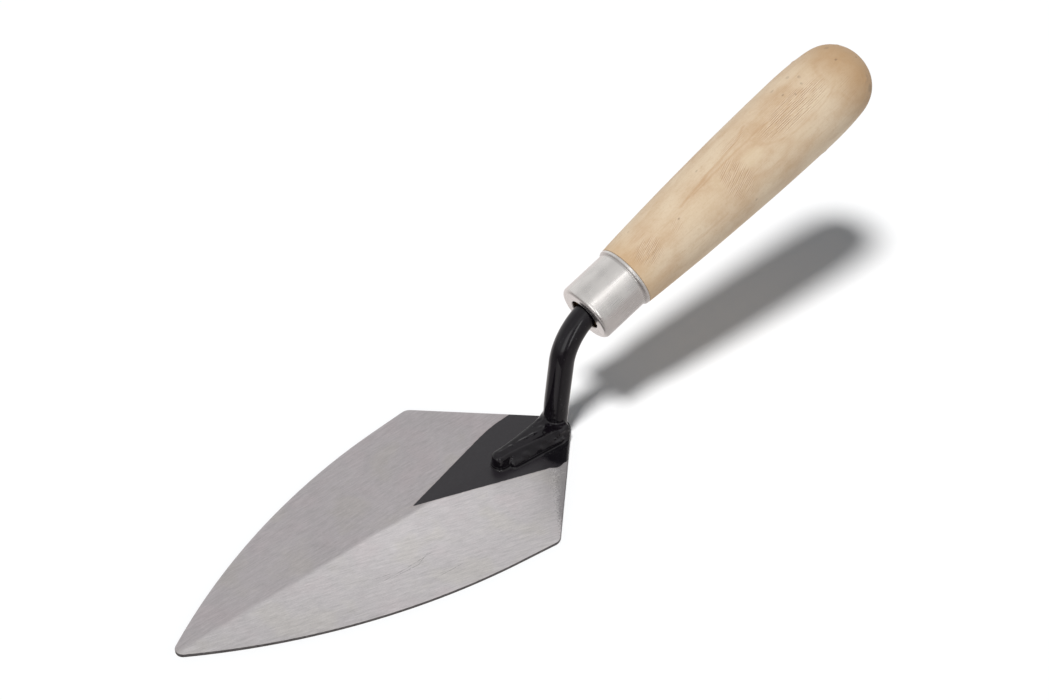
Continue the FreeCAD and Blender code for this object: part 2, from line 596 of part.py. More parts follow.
# bore that fits the tang, with a relieved mouth
sk = new_sketch(handle, "bore_profile", "XZ_Plane")
MB, MD = d("mouth_bore") / 2, d("mouth_depth")
RO, TS, TT = d("rod_diameter") / 2, d("tang_small") / 2, d("bore_end_gap")
polygon(sk, [(spig - 0.5, 0), (x2 + TT, 0), (x1 + 1, TS), (x1, TS), (x0, RO), (spig + MD, RO),
             (spig + MD, MB), (spig - 0.5, MB)],
        [(SPX + " - 0.5", "0"),
         ("Dims.tang_straight + Dims.tang_taper + Dims.tang_point + Dims.bore_end_gap", "0"),
         ("Dims.tang_straight + Dims.tang_taper + 1", "Dims.tang_small / 2"),
         ("Dims.tang_straight + Dims.tang_taper", "Dims.tang_small / 2"),
         ("Dims.tang_straight", "Dims.rod_diameter / 2"),
         (SPX + " + Dims.mouth_depth", "Dims.rod_diameter / 2"),
         (SPX + " + Dims.mouth_depth", "Dims.mouth_bore / 2"),
         (SPX + " - 0.5", "Dims.mouth_bore / 2")])
bore = handle.newObject("PartDesign::Groove", "tang_bore")
bore.Profile = sk
bore.ReferenceAxis = (sk, ["H_Axis"])
bore.Angle = 360
doc.recompute()
if not bore.Shape.Volume < solid_volume - 100:
    raise RuntimeError("the bore cut nothing")

# the ferrule and the handle lie along the tang's axis
for body in (ferrule, handle):
    body.Placement = Placement(rim, Rotation(V(0, 1, 0), 180 + d("handle_tilt")))
    body.setExpression("Placement.Base.x", "Dims.rim_x")
    body.setExpression("Placement.Base.z", "Dims.rim_z")
    body.setExpression("Placement.Rotation.Angle", "(180 + Dims.handle_tilt) * 1 deg")
doc.recompute()

# ---------------------------------------------------------------- checks and export
for obj in doc.Objects:
    if "Invalid" in obj.State or "Error" in obj.State:
        raise RuntimeError("%s failed: %s" % (obj.Name, obj.State))
nodes = [blade, shank, weld, ferrule, handle]
for obj in nodes:
    shape = obj.Shape
    if shape.isNull() or not shape.isValid() or not shape.Solids:
        raise RuntimeError(obj.Label + " has no valid solid")
    print("%-10s solids %d volume %9.2f  x %7.2f..%7.2f y %6.2f..%6.2f z %6.2f..%6.2f" % (
        obj.Label, len(shape.Solids), shape.Volume, shape.BoundBox.XMin, shape.BoundBox.XMax,
        shape.BoundBox.YMin, shape.BoundBox.YMax, shape.BoundBox.ZMin, shape.BoundBox.ZMax))
for i in range(len(nodes)):
    for j in range(i + 1, len(nodes)):
        common = nodes[i].Shape.common(nodes[j].Shape)
        if common.Volume > 0.01:
            print("overlap %s / %s: %.3f mm3" % (nodes[i].Label, nodes[j].Label, common.Volume))
for obj in nodes:
    obj.Shape.exportStep("parts/%s.step" % obj.Label)
print("wrote", len(nodes), "parts")
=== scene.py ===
import math
import bpy
import numpy as np
from mathutils import Matrix, Vector


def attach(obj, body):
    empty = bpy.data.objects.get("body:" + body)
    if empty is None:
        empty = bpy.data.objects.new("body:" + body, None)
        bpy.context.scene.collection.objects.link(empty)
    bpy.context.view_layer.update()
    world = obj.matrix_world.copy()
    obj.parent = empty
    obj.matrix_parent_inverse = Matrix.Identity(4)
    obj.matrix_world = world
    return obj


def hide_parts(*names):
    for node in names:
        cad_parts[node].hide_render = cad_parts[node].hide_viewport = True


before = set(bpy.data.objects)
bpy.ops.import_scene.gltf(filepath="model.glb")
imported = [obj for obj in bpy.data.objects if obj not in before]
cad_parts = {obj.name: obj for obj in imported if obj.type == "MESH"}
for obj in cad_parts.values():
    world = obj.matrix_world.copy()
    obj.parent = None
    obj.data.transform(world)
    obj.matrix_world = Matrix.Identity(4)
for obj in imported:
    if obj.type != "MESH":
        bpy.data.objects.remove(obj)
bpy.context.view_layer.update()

# Brick trowel: the looks. Millimetres in the mesh code, metres in Blender, in the row's frame:
# +X heel to tip, +Z up, Y across, the origin under the blade's widest line.

# ------------------------------------------------------------------ dimensions, mm
TILT = math.radians(20.45)
LEAN = math.radians(6.7)
RIM = np.array([-55.95, 0.0, 45.85])
BACK = np.array([-math.cos(TILT), 0.0, math.sin(TILT)])       # the handle's axis, towards the butt
ACROSS = np.array([0.0, 1.0, 0.0])
BELOW = np.cross(BACK, ACROSS)                                 # square to both, pointing down and back
HEEL, TIP, HALF = 35.75, 107.25, 35.75
RIDGE0, RIDGE1, SLOPE = 1.7, 1.1, 0.0171
ROD_R = 3.76


def ridge(x):
    return RIDGE0 + (RIDGE1 - RIDGE0) * (x + HEEL) / (HEEL + TIP)


def blade_top(x, y):
    return ridge(x) - SLOPE * (np.sqrt(y * y + 0.25) - 0.5)


# ------------------------------------------------------------------ seeded noise
def _hash(i, j, k, seed):
    with np.errstate(over="ignore"):
        h = (i.astype(np.uint32) * np.uint32(374761393) + j.astype(np.uint32) * np.uint32(668265263)
             + k.astype(np.uint32) * np.uint32(2147483647) + np.uint32(seed) * np.uint32(1274126177))
        h = (h ^ (h >> np.uint32(13))) * np.uint32(1274126177)
        h = h ^ (h >> np.uint32(16))
    return h.astype(np.float64) / 4294967295.0 * 2 - 1


def noise3(x, y, z, seed=0):
    """smooth value noise, -1..1"""
    xi, yi, zi = np.floor(x), np.floor(y), np.floor(z)
    fx, fy, fz = x - xi, y - yi, z - zi
    xi, yi, zi = xi.astype(np.int64), yi.astype(np.int64), zi.astype(np.int64)
    fx, fy, fz = (f * f * f * (f * (f * 6 - 15) + 10) for f in (fx, fy, fz))
    out = 0
    for dx in (0, 1):
        for dy in (0, 1):
            for dz in (0, 1):
                w = (fx if dx else 1 - fx) * (fy if dy else 1 - fy) * (fz if dz else 1 - fz)
                out = out + w * _hash(xi + dx, yi + dy, zi + dz, seed)
    return out


# ------------------------------------------------------------------ meshes
def mesh_object(name, verts, faces, smooth=True):
    """verts in mm, faces a list of lists or an (n, 3 or 4) array"""
    me = bpy.data.meshes.new(name)
    verts = np.asarray(verts, dtype=np.float64) * 0.001
    if isinstance(faces, np.ndarray):
        n, k = faces.shape
        me.vertices.add(len(verts))
        me.vertices.foreach_set("co", verts.astype(np.float32).ravel())
        me.loops.add(n * k)
        me.loops.foreach_set("vertex_index", faces.astype(np.int32).ravel())
        me.polygons.add(n)
        me.polygons.foreach_set("loop_start", np.arange(0, n * k, k, dtype=np.int32))
        me.update(calc_edges=True)
    else:
        me.from_pydata(verts.tolist(), [], faces)
        me.update(calc_edges=True)
    me.validate()
    if smooth:
        me.polygons.foreach_set("use_smooth", np.ones(len(me.polygons), dtype=bool))
    ob = bpy.data.objects.new(name, me)
    bpy.context.scene.collection.objects.link(ob)
    return ob


def lathe(name, profile, segments, relief=None, closed=False):
    """revolves (along, radius) points round the handle's axis. Points on the axis become poles.
    closed joins the last point to the first, for a ring-shaped piece."""
    prof = np.asarray(profile, dtype=np.float64)
    poles = {i for i, (a, r) in enumerate(prof) if r < 1e-6}
    ang = np.arange(segments) / segments * 2 * math.pi
    verts, start = [], []
    tang = np.gradient(prof, axis=0)
    nrm = np.column_stack([-tang[:, 1], tang[:, 0]])
    nrm /= np.maximum(np.linalg.norm(nrm, axis=1), 1e-9)[:, None]
    count = 0
    for i, (a, r) in enumerate(prof):
        start.append(count)
        if i in poles:
            verts.append((RIM + BACK * a)[None, :])
            count += 1
            continue
        aa, rr = np.full(segments, a), np.full(segments, r)
        if relief is not None:
            d = relief(aa, ang, rr)
            aa, rr = aa + nrm[i, 0] * d * SIDE, rr + nrm[i, 1] * d * SIDE
        p = (RIM[None, :] + BACK[None, :] * aa[:, None]
             + (ACROSS[None, :] * np.cos(ang)[:, None] + BELOW[None, :] * np.sin(ang)[:, None]) * rr[:, None])
        verts.append(p)
        count += segments
    faces = []
    n = len(prof)
    seg = np.arange(segments)
    nxt = (seg + 1) % segments
    for i in range(n if closed else n - 1):
        j = (i + 1) % n
        if i in poles and j in poles:
            continue
        if i in poles:
            faces += [[start[i], int(start[j] + b), int(start[j] + a)] for a, b in zip(seg, nxt)]
        elif j in poles:
            faces += [[int(start[i] + a), int(start[i] + b), start[j]] for a, b in zip(seg, nxt)]
        else:
            faces += [[int(start[i] + a), int(start[i] + b), int(start[j] + b), int(start[j] + a)]
                      for a, b in zip(seg, nxt)]
    ob = mesh_object(name, np.concatenate(verts), faces)
    outward(ob)
    return ob


SIDE = 1.0


def outward(ob):
    """turns a closed mesh's faces outwards if its signed volume is negative"""
    me = ob.data
    co = np.empty(len(me.vertices) * 3, dtype=np.float32)
    me.vertices.foreach_get("co", co)
    co = co.reshape(-1, 3).astype(np.float64)
    me.calc_loop_triangles()
    tri = np.empty(len(me.loop_triangles) * 3, dtype=np.int32)
    me.loop_triangles.foreach_get("vertices", tri)
    t = co[tri.reshape(-1, 3)]
    vol = np.einsum("ij,ij->i", t[:, 0], np.cross(t[:, 1], t[:, 2])).sum() / 6
    if vol < 0:
        me.flip_normals()
    me.update()


def arc_points(cx, cy, r, a0, a1, n):
    t = np.linspace(math.radians(a0), math.radians(a1), n)
    return [(cx + r * math.cos(q), cy + r * math.sin(q)) for q in t]


def spread(points, step):
    """adds points along straight runs longer than step"""
    out = [points[0]]
    for p, q in zip(points[:-1], points[1:]):
        length = math.hypot(q[0] - p[0], q[1] - p[1])
        k = max(1, int(math.ceil(length / step)))
        for i in range(1, k + 1):
            out.append((p[0] + (q[0] - p[0]) * i / k, p[1] + (q[1] - p[1]) * i / k))
    return out


# ------------------------------------------------------------------ implicit surfaces
def smin(a, b, k):
    h = np.clip(0.5 + 0.5 * (b - a) / k, 0, 1)
    return b * (1 - h) + a * h - k * h * (1 - h)


def smax(a, b, k):
    return -smin(-a, -b, k)


def polygonise(sdf, lo, hi, step, coarse=4, relax=6):
    """naive surface nets on the zero level of sdf, then the points are pulled onto it and evened out"""
    lo, hi = np.array(lo, float), np.array(hi, float)
    n = np.ceil((hi - lo) / (step * coarse)).astype(int)
    cs = step * coarse
    ax = [lo[i] + (np.arange(n[i]) + 0.5) * cs for i in range(3)]
    gx, gy, gz = np.meshgrid(*ax, indexing="ij")
    c = sdf(gx.ravel(), gy.ravel(), gz.ravel()).reshape(gx.shape)
    near = np.abs(c) < cs * 1.35
    pad = np.pad(near, 1)
    grow = np.zeros_like(near)
    for dx in (0, 1, 2):
        for dy in (0, 1, 2):
            for dz in (0, 1, 2):
                if (dx != 1) + (dy != 1) + (dz != 1) <= 1:
                    grow |= pad[dx:dx + near.shape[0], dy:dy + near.shape[1], dz:dz + near.shape[2]]
    fine = np.repeat(np.repeat(np.repeat(grow, coarse, 0), coarse, 1), coarse, 2)
    phi = np.where(np.repeat(np.repeat(np.repeat(c, coarse, 0), coarse, 1), coarse, 2) < 0, -1e3, 1e3)
    ii = np.argwhere(fine)
    pts = lo + (ii + 0.5) * step
    phi[ii[:, 0], ii[:, 1], ii[:, 2]] = sdf(pts[:, 0], pts[:, 1], pts[:, 2])
    inside = phi < 0
    s = phi.shape
    corner = [(dx, dy, dz) for dx in (0, 1) for dy in (0, 1) for dz in (0, 1)]
    tot = np.zeros((s[0] - 1, s[1] - 1, s[2] - 1), dtype=np.int8)
    for dx, dy, dz in corner:
        tot += inside[dx:s[0] - 1 + dx, dy:s[1] - 1 + dy, dz:s[2] - 1 + dz]
    cells = np.argwhere((tot > 0) & (tot < 8))
    vals = np.stack([phi[cells[:, 0] + dx, cells[:, 1] + dy, cells[:, 2] + dz] for dx, dy, dz in corner], 1)
    pos = np.zeros((len(cells), 3))
    cnt = np.zeros(len(cells))
    for a in range(8):
        for b in range(a + 1, 8):
            ca, cb = np.array(corner[a]), np.array(corner[b])
            if np.abs(ca - cb).sum() != 1:
                continue
            va, vb = vals[:, a], vals[:, b]
            m = (va < 0) != (vb < 0)
            t = np.zeros(len(cells))
            t[m] = va[m] / (va[m] - vb[m])
            pos[m] += ca + (cb - ca) * t[m][:, None]
            cnt[m] += 1
    verts = lo + (cells + 0.5 + pos / cnt[:, None]) * step
    vid = np.full(tot.shape, -1, dtype=np.int64)
    vid[cells[:, 0], cells[:, 1], cells[:, 2]] = np.arange(len(cells))
    quads = []
    for axis in range(3):
        o = [i for i in range(3) if i != axis]
        sl0, sl1 = [slice(None)] * 3, [slice(None)] * 3
        sl0[axis], sl1[axis] = slice(0, -1), slice(1, None)
        a, b = inside[tuple(sl0)], inside[tuple(sl1)]
        e = np.argwhere(a != b)
        e = e[(e[:, o[0]] > 0) & (e[:, o[1]] > 0)]
        e = e[(e[:, o[0]] < s[o[0]] - 1) & (e[:, o[1]] < s[o[1]] - 1)]
        u, v = np.zeros(3, int), np.zeros(3, int)
        u[o[0]], v[o[1]] = 1, 1

        def get(off):
            q = e - off
            return vid[q[:, 0], q[:, 1], q[:, 2]]
        q = np.stack([get(u + v), get(v), get(0 * u), get(u)], 1)
        flip = a[e[:, 0], e[:, 1], e[:, 2]]
        if axis == 1:
            flip = ~flip
        q[~flip] = q[~flip][:, ::-1]
        quads.append(q)
    quads = np.concatenate(quads)
    quads = quads[(quads >= 0).all(1)]

    def pull(v, times=2):
        h = step * 0.2
        for _ in range(times):
            f = sdf(v[:, 0], v[:, 1], v[:, 2])
            g = np.stack([(sdf(v[:, 0] + h * (k == 0), v[:, 1] + h * (k == 1), v[:, 2] + h * (k == 2))
                           - sdf(v[:, 0] - h * (k == 0), v[:, 1] - h * (k == 1), v[:, 2] - h * (k == 2))) / (2 * h)
                          for k in range(3)], 1)
            move = (f / np.maximum((g * g).sum(1), 0.2))[:, None] * g
            length = np.linalg.norm(move, axis=1)
            move *= np.minimum(1, step * 0.5 / np.maximum(length, 1e-9))[:, None]
            v = v - move
        return v
    e = np.concatenate([quads[:, [0, 1]], quads[:, [1, 2]], quads[:, [2, 3]], quads[:, [3, 0]]])
    e = np.concatenate([e, e[:, ::-1]])
    deg = np.bincount(e[:, 0], minlength=len(verts)).astype(float)
    verts = pull(verts, 1)
    for _ in range(relax):
        mean = np.stack([np.bincount(e[:, 0], weights=verts[e[:, 1], k], minlength=len(verts)) for k in range(3)], 1)
        mean /= np.maximum(deg, 1)[:, None]
        verts = pull(verts + 0.5 * (mean - verts), 1)
    return verts, quads


def true_normals(ob, sdf, h=0.02):
    """shading normals straight from the distance field"""
    me = ob.data
    co = np.empty(len(me.vertices) * 3, dtype=np.float32)
    me.vertices.foreach_get("co", co)
    v = co.reshape(-1, 3).astype(np.float64) * 1000.0
    g = np.stack([sdf(v[:, 0] + h * (k == 0), v[:, 1] + h * (k == 1), v[:, 2] + h * (k == 2))
                  - sdf(v[:, 0] - h * (k == 0), v[:, 1] - h * (k == 1), v[:, 2] - h * (k == 2))
                  for k in range(3)], 1)
    g /= np.maximum(np.linalg.norm(g, axis=1), 1e-9)[:, None]
    me.normals_split_custom_set_from_vertices(g.tolist())


# the shank's centreline: leg, bend, straight stretch and tang
down = np.array([math.sin(LEAN), 0, -math.cos(LEAN)])
corner_p = np.array([-32.51, 0, 37.12])
BEND_R = 18.0
turn = math.pi - math.acos(float(down @ BACK))
run = BEND_R * math.tan(turn / 2)
foot_end = corner_p + down * ((37.12 - 0.6) / math.cos(LEAN))
q1 = corner_p + down * run
q2 = corner_p + BACK * run
mid = (q1 - corner_p) / np.linalg.norm(q1 - corner_p) + (q2 - corner_p) / np.linalg.norm(q2 - corner_p)
mid /= np.linalg.norm(mid)
bend_c = corner_p + mid * (BEND_R / math.cos(turn / 2))
TANG = [(8.0, 3.7), (46.0, 1.9), (50.0, 0.6)]


def rod_sdf(x, y, z):
    # leg, taken a little past its lower end
    ex, ez = down[0], down[2]
    length = math.hypot(foot_end[0] - q1[0], foot_end[2] - q1[2]) + 1.0
    t = np.clip((x - q1[0]) * ex + (z - q1[2]) * ez, 0, length)
    d2 = np.hypot(x - (q1[0] + ex * t), z - (q1[2] + ez * t))
    # bend
    vx, vz = x - bend_c[0], z - bend_c[2]
    ang = np.arctan2(vz, vx)
    a1 = math.atan2(q1[2] - bend_c[2], q1[0] - bend_c[0])
    a2 = math.atan2(q2[2] - bend_c[2], q2[0] - bend_c[0])
    lo_a, hi_a = min(a1, a2), max(a1, a2)
    ok = (ang >= lo_a) & (ang <= hi_a)
    d2 = np.minimum(d2, np.where(ok, np.abs(np.hypot(vx, vz) - BEND_R), 1e3))
    # straight stretch into the handle
    a = (x - RIM[0]) * BACK[0] + (z - RIM[2]) * BACK[2]
    off = np.abs((x - RIM[0]) * -BACK[2] + (z - RIM[2]) * BACK[0])
    a_start = (q2[0] - RIM[0]) * BACK[0] + (q2[2] - RIM[2]) * BACK[2]
    ds = np.hypot(off, np.maximum(np.maximum(a_start - a, a - 8.0), 0))
    d2 = np.minimum(d2, ds)
    rod = np.hypot(d2, y) - ROD_R
    # tang
    rr = np.interp(a, [p[0] for p in TANG], [p[1] for p in TANG])
    tang = np.hypot(off, y) - rr
    tang = np.maximum(np.maximum(tang, 7.0 - a), a - 50.0)
    return np.minimum(rod, tang)


def foot_sdf(x, y, z):
    """low flat-topped rib that widens to the rod, two sloping flanges, the thickened root:
    all as thickly painted metal"""
    axle = y
    y = y - 1.25                       # the rib and flanges sit off the rod's plane
    ay = np.abs(y)
    top = np.interp(x, [-31.0, -20.0, -10.0, -3.9], [6.75, 6.50, 6.38, 6.20])
    # a run of paint along the middle of the top
    top = top + (0.30 * np.exp(-((y - 0.25 + 0.05 * (x + 14.0)) / 0.42) ** 2)
                 * np.clip(0.55 + 0.9 * noise3(x / 1.3, y / 3.0, 0 * x, 51), 0, 1)
                 * np.clip((-5.5 - x) / 2.0, 0, 1) * np.clip((x + 24.5) / 2.0, 0, 1))
    u = -9.2 - x
    flat = 1.58 + 0.066 * (u + np.sqrt(u * u + 4.0))
    flat = np.minimum(flat, 3.75)
    drop = np.clip(top - z, 0, 5)
    half = flat + 0.40 + 0.17 * drop
    nose_c = -3.9 - half + 0.05 * drop
    side = np.where(x > nose_c, np.hypot(np.maximum(x - nose_c, 0), ay) - half, (ay - half) * 0.985)
    rib = smax(side, z - top + 0.018 * ay * ay, 1.25)
    rib = np.maximum(rib, -(x + 29.5))
    # flanges: their tops fall away from the rib to the outer edge
    fw = 4.40 + 0.0529 * (-7.9 - x)
    fw = np.minimum(fw, 5.45)
    ends = np.maximum(x + 7.9, -27.3 - x)
    plan_f = smax(ay - fw, ends, 1.7) + 0.10 * np.clip(z - 1.5, 0, 3)
    fall = np.clip((fw - ay) / np.maximum(fw - flat - 0.5, 0.8), -0.5, 1.3)
    f_top = 3.25 + 2.0 * fall + 0.25 * np.clip((x + 12.0) / -12.0, 0, 1)
    flange = smax(plan_f, (z - f_top) * 0.72, 1.15)
    # root of the rod
    t = (x - foot_end[0]) * -down[0] + (z - foot_end[2]) * -down[2]
    off = np.abs((x - foot_end[0]) * down[2] - (z - foot_end[2]) * down[0])
    w = np.clip((t - 0.6) / 6.0, 0, 1)
    rad = 4.35 - 1.30 * w * w * (3 - 2 * w)
    root = np.maximum(np.hypot(off, axle) - rad, t - 9.0)
    return rib, flange, root


def join_foot(x, y, z, rib, flange, root):
    """rod, root, rib and flanges run together; the rib sweeps up into the rod"""
    body = smin(rod_sdf(x, y, z), root, 0.5)
    sweep = 2.3 * np.clip((1.8 - y) / 2.6, 0.18, 1.0)
    body = smin(body, rib, sweep)
    return smin(body, flange, 0.50)


def shank_sdf(x, y, z):
    out = rod_sdf(x, y, z)
    low = (z < 24) & (x > -40)
    if low.any():
        xl, yl, zl = x[low], y[low] - foot_shift(z[low]), z[low]
        rib, flange, root = foot_sdf(xl, yl, zl)
        body = join_foot(xl, yl, zl, rib, flange, root)
        # paint: soft lumps and runs, strongest where the flanges meet the rod
        fade = np.clip((15 - zl) / 6, 0, 1)
        near_rod = np.exp(-((xl + 25.0) / 3.6) ** 2 - ((zl - 4.4) / 2.0) ** 2)
        pad = np.exp(-((zl - 4.0) / 1.3) ** 2) * np.clip((np.abs(yl) - 2.0) / 1.0, 0, 1)
        body = body - fade * (0.040 * noise3(xl / 2.6, yl / 2.2, zl / 2.6, 3)
                              + 0.016 * noise3(xl / 1.15, yl / 1.15, zl / 1.15, 4)
                              + (0.30 * near_rod + 0.16 * pad) * noise3(xl / 2.2, yl / 1.1, zl / 1.4, 5)
                              + 0.16 * near_rod * noise3(xl / 0.8, yl / 0.8, zl / 0.8, 6))
        for (px, py, pz, pr) in NIBS:
            body = smin(body, np.sqrt((xl - px) ** 2 + (yl - py) ** 2 + (zl - pz) ** 2) - pr, 0.25)
        out[low] = body
    out = out - 0.012 * noise3(x / 5.0, y / 4.0, z / 5.0, 7)
    # stands on the blade's ground facets
    seat = blade_top(x, y) - z
    return np.maximum(out, seat - 0.02)


def foot_shift(z):
    """the forged foot sits a little off the rod's plane, as hand-set feet do"""
    t = np.clip((15.0 - z) / 11.0, 0, 1)
    return 0.25 * t * t * (3 - 2 * t)


# dust set in the enamel: x, y, z, radius
NIBS = [(-28.3, 3.46, 13.6, 0.26), (-29.1, 3.58, 12.9, 0.22), (-28.6, 3.56, 11.4, 0.26), (-28.0, 3.30, 15.8, 0.20),
        (-24.4, 4.9, 4.9, 0.40), (-25.2, 5.2, 5.3, 0.34), (-23.9, 5.6, 4.3, 0.32)]


def heel_out(x, y):
    """distance outside the rounded heel's outline"""
    return np.where(x + 27.265 < -np.abs(y), np.hypot(x + 27.265, y) - 6.0, (np.abs(y) - (x + 35.75)) * 0.7071)


def bead_sdf(x, y, z):
    """concave fillet of weld and paint between the foot and the blade, hanging over the heel"""
    ys = y - foot_shift(z)
    rib, flange, root = foot_sdf(x, ys, z)
    foot = join_foot(x, ys, z, rib, flange, root)
    over = z - blade_top(x, y)
    wob = 0.08 * noise3(x / 2.2, y / 2.2, z / 2.2, 11) + 0.03 * noise3(x / 0.9, y / 0.9, z / 0.9, 12)
    s = smin(foot - 0.02, over + 0.03, 0.62 + wob)
    s = np.maximum(s, foot - 1.3)
    s = np.maximum(s, -(foot + 0.2))
    out = heel_out(x, y)
    hang = 0.50 * np.exp(-((y - 0.6) / 2.6) ** 2) + 0.03 * noise3(x / 1.3, y / 1.3, z / 1.3, 13)
    s = np.maximum(s, np.minimum(-(over + 0.07), np.maximum(-(out + 0.03), 0.45 - z)))
    s = np.maximum(s, over - 1.05)
    s = smax(s, np.where(x < -20, out - hang, -5.0), 0.35)
    return s


# ------------------------------------------------------------------ materials
class Nodes:
    """short hand for building a node tree"""

    def __init__(self, name):
        self.mat = bpy.data.materials.new(name)
        self.mat.use_nodes = True
        self.t = self.mat.node_tree
        self.t.nodes.clear()
        self.out = self.t.nodes.new("ShaderNodeOutputMaterial")
        self.bsdf = self.t.nodes.new("ShaderNodeBsdfPrincipled")
        self.t.links.new(self.bsdf.outputs[0], self.out.inputs[0])
        tc = self.t.nodes.new("ShaderNodeTexCoord")
        self.obj = tc.outputs["Object"]
        self.mm = self.vec("SCALE", self.obj, scale=1000.0)

    def put(self, socket, value):
        if isinstance(value, bpy.types.NodeSocket):
            self.t.links.new(value, socket)
        elif value is not None:
            socket.default_value = value

    def math(self, op, a, b=None, c=None, clamp=False):
        n = self.t.nodes.new("ShaderNodeMath")
        n.operation = op
        n.use_clamp = clamp
        for i, v in enumerate((a, b, c)):
            if v is not None:
                self.put(n.inputs[i], v)
        return n.outputs[0]

    def vec(self, op, a, b=None, scale=None):
        n = self.t.nodes.new("ShaderNodeVectorMath")
        n.operation = op
        self.put(n.inputs[0], a)
        if b is not None:
            self.put(n.inputs[1], b)
        if scale is not None:
            self.put(n.inputs["Scale"], scale)
        return n.outputs["Value"] if op in ("DOT_PRODUCT", "LENGTH", "DISTANCE") else n.outputs[0]

    def xyz(self, v):
        n = self.t.nodes.new("ShaderNodeSeparateXYZ")
        self.put(n.inputs[0], v)
        return n.outputs[0], n.outputs[1], n.outputs[2]

    def join(self, x, y, z):
        n = self.t.nodes.new("ShaderNodeCombineXYZ")
        for i, v in enumerate((x, y, z)):
            self.put(n.inputs[i], v)
        return n.outputs[0]

    def noise(self, vector, scale=1.0, detail=2.0, rough=0.5, distort=0.0):
        n = self.t.nodes.new("ShaderNodeTexNoise")
        self.put(n.inputs["Vector"], vector)
        n.inputs["Scale"].default_value = scale
        n.inputs["Detail"].default_value = detail
        n.inputs["Roughness"].default_value = rough
        n.inputs["Distortion"].default_value = distort
        return n.outputs[0]

    def voronoi(self, vector, scale=1.0, randomness=1.0, feature="F1"):
        n = self.t.nodes.new("ShaderNodeTexVoronoi")
        n.feature = feature
        self.put(n.inputs["Vector"], vector)
        n.inputs["Scale"].default_value = scale
        n.inputs["Randomness"].default_value = randomness
        return n.outputs["Distance"]

    def step(self, v, lo, hi, a=0.0, b=1.0, smooth=True):
        n = self.t.nodes.new("ShaderNodeMapRange")
        n.interpolation_type = "SMOOTHSTEP" if smooth else "LINEAR"
        n.clamp = True
        self.put(n.inputs["Value"], v)
        self.put(n.inputs["From Min"], lo)
        self.put(n.inputs["From Max"], hi)
        self.put(n.inputs["To Min"], a)
        self.put(n.inputs["To Max"], b)
        return n.outputs[0]

    def mix(self, f, a, b, blend="MIX"):
        n = self.t.nodes.new("ShaderNodeMix")
        n.data_type = "RGBA"
        n.blend_type = blend
        n.clamp_factor = True
        self.put(n.inputs[0], f)
        self.put(n.inputs[6], tint(a))
        self.put(n.inputs[7], tint(b))
        return n.outputs[2]

    def mixf(self, f, a, b):
        n = self.t.nodes.new("ShaderNodeMix")
        n.data_type = "FLOAT"
        n.clamp_factor = True
        self.put(n.inputs[0], f)
        self.put(n.inputs[2], a)
        self.put(n.inputs[3], b)
        return n.outputs[0]

    def bump(self, height, distance, strength=1.0, normal=None):
        """height in the units that distance, in metres, scales"""
        n = self.t.nodes.new("ShaderNodeBump")
        n.inputs["Strength"].default_value = strength
        n.inputs["Distance"].default_value = distance
        self.put(n.inputs["Height"], height)
        if normal is not None:
            self.put(n.inputs["Normal"], normal)
        return n.outputs[0]

    def set(self, **kw):
        for k, v in kw.items():
            self.put(self.bsdf.inputs[k.replace("_", " ")], v)
        return self.mat


def tint(c):
    if isinstance(c, tuple) and len(c) == 3:
        return (*c, 1.0)
    return c


def srgb(r, g, b):
    out = []
    for v in (r, g, b):
        v /= 255.0
        out.append(v / 12.92 if v <= 0.04045 else ((v + 0.055) / 1.055) ** 2.4)
    return tuple(out)


